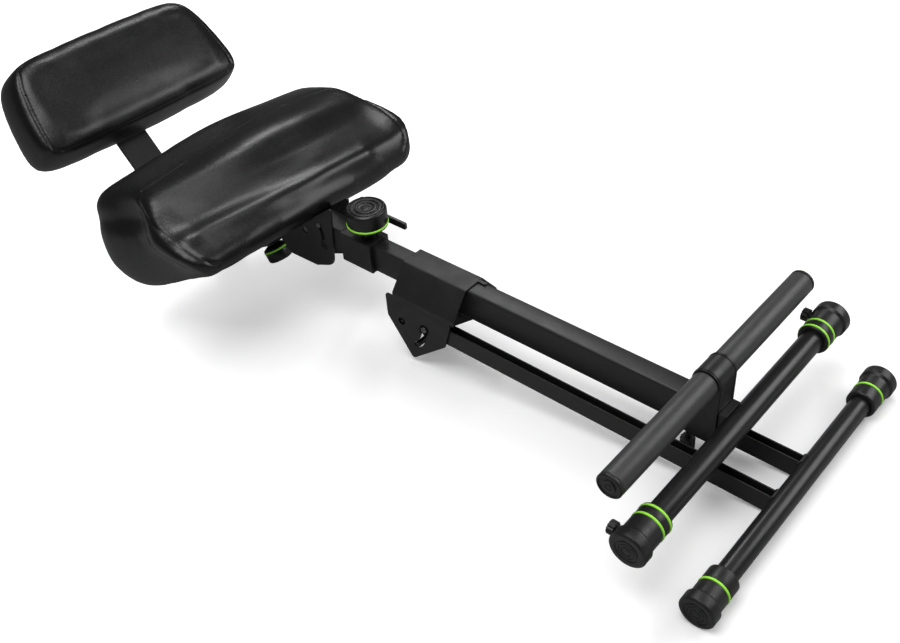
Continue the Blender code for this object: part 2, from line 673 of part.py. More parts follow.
def build_crossbar(label, radius, half, ring_insets, place, parent):
    """A crossbar tube with a cap on each end and the caps' coloured rings."""
    bar = turned_object(label + "_crossbar", cylinder_profile(radius, -half, half, radius - BAR_WALL))
    finish_piece(bar, METAL, parent, place, ALONG_Y)
    body = radius + FIT + CAP_WALL
    caps = []
    for side, turn in (("near", FROM_NEAR_END), ("far", FROM_FAR_END)):
        cap = turned_object(label + "_cap_" + side, cap_profile(radius, half, ring_insets))
        caps.append(finish_piece(cap, PLASTIC, parent, place, turn))
        for number, inset in enumerate(ring_insets, 1):
            spot = half - inset
            outer = body + RING_PROUD
            inner = body - RING_DEPTH + FIT
            low, high = spot - RING_WIDTH / 2, spot + RING_WIDTH / 2
            profile = [(inner, high), (body, high), (outer, high - RING_PROUD), (outer, low + RING_PROUD),
                       (body, low), (inner, low)]
            ring = turned_object("%s_ring_%s_%d" % (label, side, number), profile)
            finish_piece(ring, ACCENT, parent, place, turn)
    return caps


def build_cap_screws(root, caps):
    """The ridged thumbscrews that lock the front caps, each through a hole in its cap."""
    body = FRONT_BAR_RADIUS + FIT + CAP_WALL
    for (side, sign), cap in zip(SIDES, caps):
        place = (FRONT_BAR_X, sign * (FRONT_BAR_HALF - SCREW_INSET), FRONT_BAR_Z)
        pivot = empty("cap_screw_axis_" + side, root, place, (0, -math.pi / 2, 0))
        tip = FRONT_BAR_RADIUS + 2 * FIT
        start = body + SCREW_KNOB_GAP
        item = flat_object("cap_screw_" + side, [ridged_outline(SCREW_KNOB_RADIUS, 12, RING_DEPTH)],
                           SCREW_KNOB_LENGTH)
        finish_piece(item, PLASTIC, pivot, (0, 0, start + SCREW_KNOB_LENGTH / 2), (0, 0, 0))
        stem = turned_object("cap_screw_stem_tool_" + side,
                             cylinder_profile(SCREW_RADIUS, tip, start + SCREW_KNOB_LENGTH / 2),
                             SMALL_STEPS, CUTTERS)
        make_cutter(stem, pivot, (0, 0, 0), (0, 0, 0))
        apply_boolean(item, stem, "UNION")
        hole = turned_object("cap_screw_hole_cutter_" + side,
                             cylinder_profile(SCREW_RADIUS + FIT, FRONT_BAR_RADIUS, start),
                             SMALL_STEPS, CUTTERS)
        make_cutter(hole, pivot, (0, 0, 0), (0, 0, 0))
        cut(cap, hole)


def build_rear_leg(root):
    pivot = empty("rear_leg_pivot", root, (LEG_PIVOT_X, 0, LEG_PIVOT_Z))
    outline = filleted([(-LEG_PLATE_HEAD, 0), (LEG_PLATE_TIP_X, -LEG_PLATE_TIP_DROP),
                        (LEG_PLATE_FOOT_SET, -LEG_PLATE_FOOT_DROP), (LEG_PLATE_FOOT, LEG_PLATE_FOOT_TOP),
                        (LEG_PLATE_FOOT, LEG_PLATE_TOP_RISE), (-LEG_PLATE_HEAD, LEG_PLATE_TOP_RISE)],
                       LEG_PLATE_CORNER)
    holes = [circle_points((0, 0), LEG_PIVOT_RADIUS + FIT, SMALL_STEPS),
             keyhole(LEG_LOCK_REACH, LEG_LOCK_ANGLE, LEG_LOCK_ANGLE + LEG_FOLD_RANGE,
                     LEG_PIN_RADIUS + 2 * FIT, LEG_LOCK_HOLE_RADIUS)]
    for side, sign in SIDES:
        item = flat_object("leg_plate_" + side, [outline] + holes, LEG_PLATE_SHEET)
        middle = sign * (LEG_PLATE_INNER_Y + LEG_PLATE_SHEET / 2)
        finish_piece(item, METAL, pivot, (0, middle, 0), ALONG_Y)
    foot = empty("rear_foot", pivot, (-LEG_PIVOT_X, 0, -LEG_PIVOT_Z), (0, RAIL_SLOPE, 0))
    start, end = RAIL_HEAD_X, -REAR_BAR_RADIUS - FIT
    half, under = RAIL_WIDTH / 2, -RAIL_DEPTH
    channel = filleted([(-half, 0), (-half, under), (half, under), (half, 0), (half - RAIL_WALL, 0),
                        (half - RAIL_WALL, under + RAIL_WALL), (RAIL_WALL - half, under + RAIL_WALL),
                        (RAIL_WALL - half, 0)],
                       [0, RAIL_WALL, RAIL_WALL, 0, 0, RAIL_WALL / 2, RAIL_WALL / 2, 0], steps=2)
    for side, sign in SIDES:
        item = flat_object("rear_rail_" + side, [channel], end - start)
        place = ((start + end) / 2, sign * (RAIL_OUTER_HALF - half), RAIL_TOP_Z)
        finish_piece(item, METAL, foot, place, ALONG_X)
    build_crossbar("rear", REAR_BAR_RADIUS, REAR_BAR_HALF, REAR_RING_INSETS, (0, 0, 0), foot)


def knob_profile(radius, top_radius, neck_radius, foot_radius, height, ring_height, skirt):
    """A round hand knob on a neck: stepped top disc, straight grip, ring groove and bevelled skirt."""
    half = RING_WIDTH / 2 + FIT
    dish = top_radius - HEAD_KNOB_STEP
    return [(0, height - HEAD_KNOB_STEP), (dish / 2, height - HEAD_KNOB_STEP), (dish / 2, height),
            (dish, height), (dish, height - HEAD_KNOB_STEP), (top_radius, height - HEAD_KNOB_STEP),
            (top_radius, height), (top_radius + HEAD_KNOB_STEP, height),
            (radius, height - 2 * HEAD_KNOB_STEP), (radius, ring_height + half),
            (radius - RING_DEPTH, ring_height + half), (radius - RING_DEPTH, ring_height - half),
            (radius, ring_height - half), (radius, ring_height - half - HEAD_KNOB_STEP),
            (neck_radius, ring_height - skirt), (foot_radius, ring_height - skirt - HEAD_KNOB_STEP),
            (foot_radius, FIT), (0, FIT)]


def build_knob(label, sizes, parent, place, turn):
    """A knob and its ring on an axis of their own."""
    axis = empty(label + "_axis", parent, place, turn)
    knob = turned_object(label, knob_profile(*sizes))
    finish_piece(knob, PLASTIC, axis, (0, 0, 0), (0, 0, 0))
    radius, ring_height = sizes[0], sizes[5]
    inner, outer = radius - RING_DEPTH + FIT, radius + RING_PROUD
    low, high = ring_height - RING_WIDTH / 2, ring_height + RING_WIDTH / 2
    ring = turned_object(label + "_ring", [(inner, high), (radius, high), (outer, high - RING_PROUD),
                                           (outer, low + RING_PROUD), (radius, low), (inner, low)])
    finish_piece(ring, ACCENT, axis, (0, 0, 0), (0, 0, 0))
    return axis


def build_head(head):
    """The tube that slides out, the sleeve on its end and the tongue that the seat folds on."""
    pivot = (SEAT_PIVOT_X, SEAT_PIVOT_Z)
    square_tube("inner_tube", INNER_WIDTH, INNER_DEPTH, INNER_WALL, TUBE_CORNER - TUBE_WALL, INNER_HEAD_END_X,
                INNER_HEAD_END_X + INNER_LENGTH, TUBE_MIDDLE_Z, METAL, head, pivot)
    hole = rectangle(INNER_WIDTH + 2 * FIT, INNER_DEPTH + 2 * FIT, TUBE_CORNER - TUBE_WALL)
    shift = TUBE_MIDDLE_Z - SLEEVE_MIDDLE_Z
    hole = [point + Vector((0, shift)) for point in hole]
    sleeve = flat_object("head_sleeve", [rectangle(SLEEVE_WIDTH, SLEEVE_DEPTH, SLEEVE_EDGE), hole],
                         SLEEVE_FOOT_X - SLEEVE_HEAD_X)
    place = ((SLEEVE_FOOT_X + SLEEVE_HEAD_X) / 2 - SEAT_PIVOT_X, 0, SLEEVE_MIDDLE_Z - SEAT_PIVOT_Z)
    finish_piece(sleeve, METAL, head, place, ALONG_X)
    build_tongue(head)
    half = SEAT_PLATE_OUTER_Y - SEAT_PLATE_SHEET / 2
    pin_along_y("seat_pivot_bolt", SEAT_PIVOT_RADIUS, half, (0, 0, 0), STEEL, head)
    pin_along_y("seat_lock_pin", SEAT_PIN_RADIUS, half + SEAT_PLATE_SHEET, (SEAT_PIN_X, 0, SEAT_PIN_Z),
                STEEL, head)
    build_lever(head)
    sleeve_top = SLEEVE_MIDDLE_Z + SLEEVE_DEPTH / 2
    build_knob("head_knob", (HEAD_KNOB_RADIUS, HEAD_KNOB_TOP_RADIUS, HEAD_KNOB_NECK_RADIUS,
                             HEAD_KNOB_FOOT_RADIUS, HEAD_KNOB_HEIGHT, HEAD_KNOB_RING_HEIGHT,
                             HEAD_KNOB_SKIRT), head,
               (HEAD_KNOB_X - SEAT_PIVOT_X, 0, sleeve_top - SEAT_PIVOT_Z), (0, 0, 0))


def build_tongue(head):
    """The block on the sleeve's end, rounded about the seat's pivot and bored for both pins."""
    end = SLEEVE_HEAD_X - FIT - SEAT_PIVOT_X
    high = SEAT_PIN_Z + TONGUE_PIN_MARGIN
    low = -TONGUE_EYE_RADIUS
    outline = filleted([(-TONGUE_EYE_RADIUS, low), (end, low), (end, high),
                        (SEAT_PIN_X - TONGUE_PIN_MARGIN, high), (-TONGUE_EYE_RADIUS, TONGUE_EYE_RADIUS / 2)],
                       [TONGUE_EYE_RADIUS, 0, 0, TONGUE_PIN_MARGIN, TONGUE_EYE_RADIUS / 2])
    holes = [circle_points((0, 0), SEAT_PIVOT_RADIUS + FIT, SMALL_STEPS),
             circle_points((SEAT_PIN_X, SEAT_PIN_Z), SEAT_PIN_RADIUS + FIT, SMALL_STEPS)]
    item = flat_object("head_tongue", [outline] + holes, 2 * TONGUE_HALF_WIDTH)
    finish_piece(item, METAL, head, (0, 0, 0), ALONG_Y)


def build_lever(head):
    """The release lever beside the knob: a round boss, a straight finger bar and a foot on the sleeve."""
    boss_x = LEVER_BOSS_X - SEAT_PIVOT_X
    boss_z = LEVER_BOSS_Z - SEAT_PIVOT_Z
    low = SLEEVE_MIDDLE_Z - SEAT_PIVOT_Z
    end = LEVER_FOOT_X - SEAT_PIVOT_X
    bar_low = LEVER_Z - LEVER_WIDTH / 2 - SEAT_PIVOT_Z
    radius = LEVER_BOSS_RADIUS
    corner = LEVER_SHEET / 2
    round_corner = radius - corner
    outline = filleted([(boss_x - radius, low), (boss_x + radius, low), (boss_x + radius, bar_low),
                        (end, bar_low), (end, bar_low + LEVER_WIDTH),
                        (boss_x + radius, bar_low + LEVER_WIDTH),
                        (boss_x + radius, boss_z + radius), (boss_x - radius, boss_z + radius)],
                       [corner, corner, corner, corner, corner, corner / 2, round_corner, round_corner])
    middle = HEAD_KNOB_RADIUS + RING_PROUD + LEVER_GAP + LEVER_SHEET / 2
    item = flat_object("release_lever", [outline], LEVER_SHEET)
    finish_piece(item, METAL, head, (0, middle, 0), ALONG_Y)
    corner_low = (boss_x - radius + corner, SLEEVE_WIDTH / 2 + FIT, low + corner)
    corner_high = (boss_x + radius - corner, middle, low + 2 * radius)
    foot = mesh_object("lever_foot_tool", box_mesh("lever_foot_tool", corner_low, corner_high), CUTTERS)
    make_cutter(foot, head, (0, 0, 0), (0, 0, 0))
    apply_boolean(item, foot, "UNION")


def build_seat_bracket(seat):
    """The two slotted plates, their mounting plate and its bolts."""
    lobe = SEAT_PLATE_LOBE_RADIUS
    rounding = [(x_share * lobe, z_share * lobe) for x_share, z_share, corner_share in SEAT_LOBE_SHARES]
    corners = [lobe * corner_share for x_share, z_share, corner_share in SEAT_LOBE_SHARES]
    outline = filleted([(-SEAT_PLATE_REAR, SEAT_PLATE_TOP / 5),
                        (SEAT_PLATE_SET - SEAT_PLATE_REAR, -SEAT_PLATE_REAR_DROP), *rounding,
                        (SEAT_PLATE_FRONT, SEAT_PLATE_FRONT_RISE),
                        (MOUNT_FRONT + MOUNT_SHEET, SEAT_PLATE_TOP), (-MOUNT_REAR, SEAT_PLATE_TOP)],
                       [SEAT_PLATE_CORNER] * 2 + corners + [SEAT_PLATE_CORNER] * 3)
    lock = SEAT_LOCK_ANGLE - SEAT_TILT
    holes = [circle_points((0, 0), SEAT_PIVOT_RADIUS + FIT, SMALL_STEPS),
             keyhole(SEAT_LOCK_REACH, lock, lock - SEAT_FOLD_RANGE, SEAT_PIN_RADIUS + 2 * FIT,
                     SEAT_LOCK_HOLE_RADIUS)]
    for side, sign in SIDES:
        item = flat_object("seat_plate_" + side, [outline] + holes, SEAT_PLATE_SHEET)
        finish_piece(item, METAL, seat, (0, sign * (SEAT_PLATE_INNER_Y + SEAT_PLATE_SHEET / 2), 0), ALONG_Y)
    low = (-MOUNT_REAR, -MOUNT_HALF_WIDTH, MOUNT_UNDER)
    mount = mesh_object("seat_mount", box_mesh("seat_mount", low, (MOUNT_FRONT, MOUNT_HALF_WIDTH, MOUNT_TOP)))
    finish_piece(mount, METAL, seat, (0, 0, 0), (0, 0, 0))
    spots = [(end, x, sign) for end, x in (("rear", MOUNT_BOLT_INSET - MOUNT_REAR),
                                           ("front", MOUNT_FRONT - MOUNT_BOLT_INSET)) for sign in (-1, 1)]
    for end, x, sign in spots:
        side = "near" if sign < 0 else "far"
        head = turned_object("mount_bolt_%s_%s" % (end, side),
                             [(0, -FIT), (MOUNT_BOLT_RADIUS, -FIT),
                              (MOUNT_BOLT_RADIUS, -MOUNT_BOLT_HEIGHT / 3),
                              (MOUNT_BOLT_RADIUS / 2, -MOUNT_BOLT_HEIGHT), (0, -MOUNT_BOLT_HEIGHT)],
                             SMALL_STEPS)
        place = (x, sign * (MOUNT_HALF_WIDTH - MOUNT_BOLT_INSET), MOUNT_UNDER)
        finish_piece(head, STEEL, seat, place, (0, 0, 0))


def build_channel(seat):
    """The channel under the board that the backrest's bar slides in, with a flange along each side."""
    inner, outer = CHANNEL_INNER_HALF, CHANNEL_INNER_HALF + CHANNEL_SHEET
    top = BOARD_UNDER - FIT
    outline = [(-outer - CHANNEL_FLANGE, top), (-outer - CHANNEL_FLANGE, top - CHANNEL_SHEET),
               (-outer, top - CHANNEL_SHEET), (-outer, CHANNEL_UNDER), (outer, CHANNEL_UNDER),
               (outer, top - CHANNEL_SHEET), (outer + CHANNEL_FLANGE, top - CHANNEL_SHEET),
               (outer + CHANNEL_FLANGE, top), (inner, top), (inner, CHANNEL_INNER_UNDER),
               (-inner, CHANNEL_INNER_UNDER), (-inner, top)]
    item = flat_object("bar_channel", [[Vector(point) for point in outline]], CHANNEL_REAR - CHANNEL_FRONT)
    finish_piece(item, METAL, seat, (-(CHANNEL_REAR + CHANNEL_FRONT) / 2, 0, 0), ALONG_X)


def build_seat_board(seat):
    middle = (SEAT_BOARD_FRONT - SEAT_BOARD_REAR) / 2
    outline = rectangle(SEAT_BOARD_FRONT + SEAT_BOARD_REAR, 2 * SEAT_BOARD_HALF, SEAT_BOARD_CORNER)
    item = flat_object("seat_board", [outline], BOARD_SHEET)
    finish_piece(item, BOARD, seat, (middle, 0, BOARD_UNDER + BOARD_SHEET / 2), ALONG_Z)


def seat_ring(share):
    """The seat cushion's outline at a share of the way from its middle to its end wall, rear bottom first."""
    height = SEAT_TOP_HEIGHT - CUSHION_UNDER
    bow = CUSHION_FRONT_BOW * (1 - share * share)
    turn = smooth_share(share)
    points = []
    for x_middle_share, z_middle_share, x_end_share, z_end_share, half_share in SEAT_SECTION_SHARES:
        x_share = x_middle_share + (x_end_share - x_middle_share) * turn
        z_share = z_middle_share + (z_end_share - z_middle_share) * turn
        bow_share = max(0, min(1, x_share / SEAT_BOW_SHARE + 1))
        points.append((x_share * SEAT_WALL_REAR + bow * bow_share, -share * half_share * CUSHION_HALF,
                       CUSHION_UNDER + z_share * height))
    return points


def build_seat_cushion(seat):
    """The seat's soft form, with a pocket in its underside that the board sits in."""
    rings = []
    for share, drawn_share in SEAT_RING_SHARES:
        points = seat_ring(share)
        middle_x = sum(x for x, y, z in points) / len(points)
        middle_z = sum(z for x, y, z in points) / len(points)
        rings.append([(middle_x + (x - middle_x) * drawn_share, y, middle_z + (z - middle_z) * drawn_share)
                      for x, y, z in points])
    rings += [[(x, -y, z) for x, y, z in ring] for ring in rings[-2::-1]]
    cushion = loft("seat_cushion", rings, 1, COVERING, seat)
    outline = rectangle(SEAT_BOARD_FRONT + SEAT_BOARD_REAR + 2 * FIT, 2 * SEAT_BOARD_HALF + 2 * FIT,
                        SEAT_BOARD_CORNER + FIT)
    depth = BOARD_UNDER + BOARD_SHEET + FIT
    tool = flat_object("board_pocket_cutter", [outline], depth, CUTTERS)
    make_cutter(tool, seat, ((SEAT_BOARD_FRONT - SEAT_BOARD_REAR) / 2, 0, depth / 2), ALONG_Z)
    cut(cushion, tool)


def build_backrest(seat):
    """The bent flat bar, and on its upright the board, cushion and screws."""
    slide = empty("backrest_slide", seat, (-BAR_FRONT, 0, BAR_MIDDLE_N))
    rise = math.cos(BACK_RECLINE) * BAR_UP_LENGTH
    back = math.sin(BACK_RECLINE) * BAR_UP_LENGTH
    rear = BAR_BEND_REAR - BAR_FRONT
    path = filleted([(0, 0), (-rear, 0), (-rear - back, rise)],
                    BAR_BEND_RADIUS + BAR_SHEET / 2, closed=False, steps=2 * BEND_STEPS)
    work = bmesh.new()
    rows = [[work.verts.new((point.x, y, point.y)) for point in path]
            for y in (-BAR_WIDTH / 2, BAR_WIDTH / 2)]
    for index in range(len(path) - 1):
        work.faces.new((rows[0][index], rows[1][index], rows[1][index + 1], rows[0][index + 1]))
    mesh = bpy.data.meshes.new("backrest_bar")
    work.to_mesh(mesh)
    work.free()
    bar = finish_piece(mesh_object("backrest_bar", mesh), METAL, slide, (0, 0, 0), (0, 0, 0))
    sheet = bar.modifiers.new("Sheet", "SOLIDIFY")
    sheet.thickness = BAR_SHEET
    sheet.offset = 0
    sheet.use_even_offset = True
    upright = empty("backrest_upright", slide, (-rear, 0, 0), (0, -BACK_RECLINE, 0))
    low, high = BACK_BOARD_LOW, BACK_BOARD_HIGH
    outline = filleted([(-BACK_BOARD_HALF_LOW, low), (BACK_BOARD_HALF_LOW, low), (BACK_BOARD_HALF_HIGH, high),
                        (-BACK_BOARD_HALF_HIGH, high)], BACK_BOARD_CORNER)
    board = flat_object("backrest_board", [outline], BOARD_SHEET)
    finish_piece(board, BOARD, upright, (BACK_BOARD_FACE - BOARD_SHEET / 2, 0, 0), ALONG_X)
    for label, sign in (("low", -1), ("high", 1)):
        height = (low + high + sign * BACK_SCREW_PITCH) / 2
        screw = turned_object("backrest_screw_" + label, [(0, BACK_SCREW_HEIGHT), (BACK_SCREW_RADIUS / 2,
                              BACK_SCREW_HEIGHT), (BACK_SCREW_RADIUS, FIT + BACK_SCREW_HEIGHT / 3),
                              (BACK_SCREW_RADIUS, FIT), (0, FIT)], SMALL_STEPS)
        finish_piece(screw, STEEL, upright, (-BAR_SHEET / 2, 0, height), (0, -math.pi / 2, 0))
    build_back_cushion(upright)


def back_outline(grow):
    """The backrest cushion's rounded trapezoid, wider at its foot and slightly full along its edges."""
    middle = (BACK_LOW + BACK_HIGH) / 2
    half_height = (BACK_HIGH - BACK_LOW) / 2
    points = []
    for y_share, z_share in BACK_OUTLINE_SHARES:
        width = BACK_HALF_LOW + (BACK_HALF_HIGH - BACK_HALF_LOW) * (z_share + 1) / 2
        y = y_share * width
        z = z_share * half_height
        length = math.hypot(y, z)
        points.append((y + grow * y / length, middle + z + grow * z / length))
    return points


def build_back_cushion(upright):
    start = BACK_BOARD_FACE + FIT
    depth = BACK_SEAM - start
    middle = (BACK_LOW + BACK_HIGH) / 2
    rings = []
    for depth_share, crown_share, flare_share, drawn_share in BACK_RING_SHARES:
        x = start + depth * depth_share + BACK_CROWN * crown_share
        rings.append([(x, y * drawn_share, middle + (z - middle) * drawn_share)
                      for y, z in back_outline(BACK_FLARE * flare_share)])
    loft("backrest_cushion", rings, 1, COVERING, upright)


def build_footrest(root):
    slide = empty("footrest_slide", root, (FOOTREST_X, 0, FOOTREST_Z))
    build_collar(slide)
    bar = turned_object("footrest_bar", cylinder_profile(FOOTREST_BAR_RADIUS, -FOOTREST_HALF + PLUG_END + FIT,
                                                         FOOTREST_HALF - PLUG_END - FIT,
                                                         FOOTREST_BAR_RADIUS - FOOTREST_BAR_WALL))
    finish_piece(bar, METAL, slide, (0, 0, 0), ALONG_Y)
    start, end = COLLAR_HALF_WIDTH + FIT, FOOTREST_HALF - PLUG_END - FIT
    for (side, sign), turn in zip(SIDES, (FROM_NEAR_END, FROM_FAR_END)):
        grip = turned_object("footrest_grip_" + side, cylinder_profile(GRIP_RADIUS, start, end,
                                                                       FOOTREST_BAR_RADIUS + FIT))
        finish_piece(grip, FOAM, slide, (0, 0, 0), turn)
        stem = FOOTREST_BAR_RADIUS - FOOTREST_BAR_WALL - FIT
        low, high = FOOTREST_HALF - PLUG_END, FOOTREST_HALF
        plug = turned_object("footrest_plug_" + side,
                             [(0, high), (GRIP_RADIUS / 2, high), (GRIP_RADIUS / 2, high - PLUG_STEP),
                              (GRIP_RADIUS - 2 * PLUG_STEP, high - PLUG_STEP),
                              (GRIP_RADIUS - 2 * PLUG_STEP, high), (GRIP_RADIUS - PLUG_STEP, high),
                              (GRIP_RADIUS, high - PLUG_STEP), (GRIP_RADIUS, low),
                              (stem, low), (stem, low - 3 * PLUG_END), (0, low - 3 * PLUG_END)])
        finish_piece(plug, PLASTIC, slide, (0, 0, 0), turn)
    build_footrest_knob(slide)


def build_collar(slide):
    """The clamp that wraps the footrest's bar above and the main tube below, with a tail for its knob."""
    radius = GRIP_RADIUS + COLLAR_SHELL
    under = TUBE_MIDDLE_Z - TUBE_DEPTH / 2 - COLLAR_UNDER - FOOTREST_Z
    outline = filleted([(-radius, under), (radius, under), (radius, radius), (-radius, radius)],
                       [COLLAR_UNDER, COLLAR_UNDER, radius - FIT, radius - FIT], steps=10)
    collar = flat_object("footrest_collar", [outline], 2 * COLLAR_HALF_WIDTH)
    finish_piece(collar, PLASTIC, slide, (0, 0, 0), ALONG_Y)
    hole = rectangle(TUBE_WIDTH + 2 * FIT, TUBE_DEPTH + 2 * FIT, TUBE_CORNER)
    tool = flat_object("collar_tube_cutter", [hole], 2 * radius + 2 * OVERRUN, CUTTERS)
    make_cutter(tool, slide, (0, 0, TUBE_MIDDLE_Z - FOOTREST_Z), ALONG_X)
    cut(collar, tool)
    reach = COLLAR_HALF_WIDTH + OVERRUN
    bore = turned_object("collar_bar_cutter", cylinder_profile(FOOTREST_BAR_RADIUS + FIT, -reach, reach),
                         ROUND_STEPS, CUTTERS)
    make_cutter(bore, slide, (0, 0, 0), ALONG_Y)
    cut(collar, bore)
    low = (-radius - COLLAR_TAIL_LENGTH, -COLLAR_TAIL_HALF, under)
    high = (-radius + COLLAR_SHELL / 2, COLLAR_TAIL_HALF, under + COLLAR_UNDER - FIT)
    tail = mesh_object("collar_tail_tool", box_mesh("collar_tail_tool", low, high), CUTTERS)
    make_cutter(tail, slide, (0, 0, 0), (0, 0, 0))
    apply_boolean(collar, tail, "UNION")


def build_footrest_knob(slide):
    """The ridged knob below the collar's tail that clamps the footrest on the tube."""
    under = TUBE_MIDDLE_Z - TUBE_DEPTH / 2 - COLLAR_UNDER - FOOTREST_Z
    axis = empty("footrest_knob_axis", slide, (-FOOTREST_KNOB_SETBACK, 0, under), (math.pi, 0, 0))
    knob = flat_object("footrest_knob", [ridged_outline(FOOTREST_KNOB_RADIUS, 12, RING_DEPTH)],
                       FOOTREST_KNOB_HEIGHT)
    finish_piece(knob, PLASTIC, axis, (0, 0, FOOTREST_KNOB_GAP + FOOTREST_KNOB_HEIGHT / 2), (0, 0, 0))
    stem = turned_object("footrest_stem_tool", cylinder_profile(FOOTREST_STEM_RADIUS, FIT,
                                                                FOOTREST_KNOB_GAP + FOOTREST_KNOB_HEIGHT / 2),
                         SMALL_STEPS, CUTTERS)
    make_cutter(stem, axis, (0, 0, 0), (0, 0, 0))
    apply_boolean(knob, stem, "UNION")


def centre_on_floor(root):
    """Moves the whole stool so that the middle of its outline's foot is the origin."""
    graph = bpy.context.evaluated_depsgraph_get()
    corners = []
    for item in PARTS.objects:
        if item.type != "MESH":
            continue
        view = item.evaluated_get(graph)
        corners += [view.matrix_world @ vertex.co for vertex in view.data.vertices]
    for axis in (0, 1):
        low = min(corner[axis] for corner in corners)
        high = max(corner[axis] for corner in corners)
        root.location[axis] -= (low + high) / 2
    root.location[2] -= min(corner[2] for corner in corners)


def build_stool():
    root = empty("stool", None, (0, 0, REAR_CAP_RADIUS), (0, rest_tilt(), 0))
    build_tube(root)
    build_socket(root)
    build_cover(root)
    build_cheeks(root)
    build_leg_pins(root)
    front_place = (FRONT_BAR_X, 0, FRONT_BAR_Z)
    caps = build_crossbar("front", FRONT_BAR_RADIUS, FRONT_BAR_HALF, FRONT_RING_INSETS, front_place, root)
    build_cap_screws(root, caps)
    build_rear_leg(root)
    head = empty("head_slide", root, (SEAT_PIVOT_X, 0, SEAT_PIVOT_Z))
    build_head(head)
    seat = empty("seat_pivot", head, (0, 0, 0), (0, -SEAT_TILT, 0))
    build_seat_bracket(seat)
    build_channel(seat)
    build_seat_board(seat)
    build_seat_cushion(seat)
    build_knob("seat_knob", (SEAT_KNOB_RADIUS, SEAT_KNOB_TOP_RADIUS, SEAT_KNOB_NECK_RADIUS,
                             SEAT_KNOB_FOOT_RADIUS, SEAT_KNOB_HEIGHT, SEAT_KNOB_RING_HEIGHT,
                             SEAT_KNOB_SKIRT), seat,
               (-SEAT_KNOB_REAR, 0, CHANNEL_UNDER), (math.pi, 0, 0))
    build_backrest(seat)
    build_footrest(root)
    bpy.context.view_layer.update()
    centre_on_floor(root)
    bpy.context.view_layer.update()


clear_scene()
PARTS = new_collection("keyboard_stool")
CUTTERS = new_collection("cutters")
METAL = new_material("black_metal", BLACK_METAL, 0.42, 0.6)
PLASTIC = new_material("black_plastic", BLACK_PLASTIC, 0.5, 0)
FOAM = new_material("black_foam", BLACK_FOAM, 0.75, 0)
COVERING = new_material("black_covering", BLACK_COVER, 0.38, 0)
BOARD = new_material("dark_board", DARK_BOARD, 0.8, 0)
STEEL = new_material("dark_steel", BARE_STEEL, 0.35, 0.9)
ACCENT = new_material("green_ring", GREEN, 0.45, 0)
build_stool()
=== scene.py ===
"""Looks of the folding keyboard stool: coverings, coats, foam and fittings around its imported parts."""
import json
import math

import bmesh
import bpy
from bpy.props import FloatProperty, FloatVectorProperty, IntProperty, PointerProperty
from mathutils import Matrix, Vector
from mathutils.bvhtree import BVHTree
from mathutils.kdtree import KDTree


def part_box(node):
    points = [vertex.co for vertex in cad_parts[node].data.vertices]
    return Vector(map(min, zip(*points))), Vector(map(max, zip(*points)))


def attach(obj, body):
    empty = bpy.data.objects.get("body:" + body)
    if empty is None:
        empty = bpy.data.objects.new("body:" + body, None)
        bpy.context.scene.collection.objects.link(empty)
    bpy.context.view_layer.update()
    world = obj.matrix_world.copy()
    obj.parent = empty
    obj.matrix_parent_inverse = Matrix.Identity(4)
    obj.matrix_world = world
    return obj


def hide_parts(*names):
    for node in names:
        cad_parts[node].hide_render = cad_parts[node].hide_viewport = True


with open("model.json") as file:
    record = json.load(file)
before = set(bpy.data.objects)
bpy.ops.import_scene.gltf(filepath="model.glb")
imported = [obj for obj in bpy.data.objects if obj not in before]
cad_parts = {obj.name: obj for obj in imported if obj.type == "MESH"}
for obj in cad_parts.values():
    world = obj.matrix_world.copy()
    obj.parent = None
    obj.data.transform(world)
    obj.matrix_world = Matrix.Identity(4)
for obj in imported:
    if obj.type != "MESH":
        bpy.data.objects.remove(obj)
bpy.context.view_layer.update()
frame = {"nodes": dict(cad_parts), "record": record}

bl_info = {
    "name": "Folding keyboard stool",
    "version": (1, 0, 0),
    "blender": (4, 5, 0),
    "location": "3D View > Sidebar > Stool",
    "description": "Dresses the folding keyboard stool and lights it on a pale floor",
    "category": "Object",
}

MM = 0.001
SIDES = (("near", -1), ("far", 1))
# A quarter turn about X lays a turned piece's own Z along Y, out to one side or the other
ALONG_Y = Matrix.Rotation(math.radians(-90), 4, "X")
TURNS = (("near", Matrix.Rotation(math.radians(90), 4, "X")), ("far", ALONG_Y))


# Places

def middle_of(node):
    low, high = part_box(node)
    return (low + high) / 2


# The front crossbar's axis in the main tube's own frame
FRONT_BAR_SPOT = Vector((-80.6 * MM, 0, 56.7 * MM))


def tube_place():
    """The main tube's own frame: X down the tube, Z square to it, origin on the rear crossbar's axis."""
    origin = middle_of("rear_crossbar")
    span = middle_of("front_crossbar") - origin
    tilt = math.atan2(FRONT_BAR_SPOT.z, FRONT_BAR_SPOT.x) - math.atan2(span.z, span.x)
    return Matrix.Translation(origin) @ Matrix.Rotation(tilt, 4, "Y")


TUBE = tube_place()
# The seat's frame lies in its fold pivot, tipped back; the backrest's in the bend of its bar
SEAT = TUBE @ Matrix.Translation((-807 * MM, 0, 44.7 * MM)) @ Matrix.Rotation(math.radians(-30), 4, "Y")
BACK = SEAT @ Matrix.Translation((-353 * MM, 0, -3 * MM)) @ Matrix.Rotation(math.radians(-12.4), 4, "Y")


# Sizes and colours a user may change

def length(name, description, value):
    return FloatProperty(name=name, description=description, default=value, unit="LENGTH")


def shade(name, description, value):
    return FloatVectorProperty(name=name, description=description, subtype="COLOR", default=value, min=0, max=1)


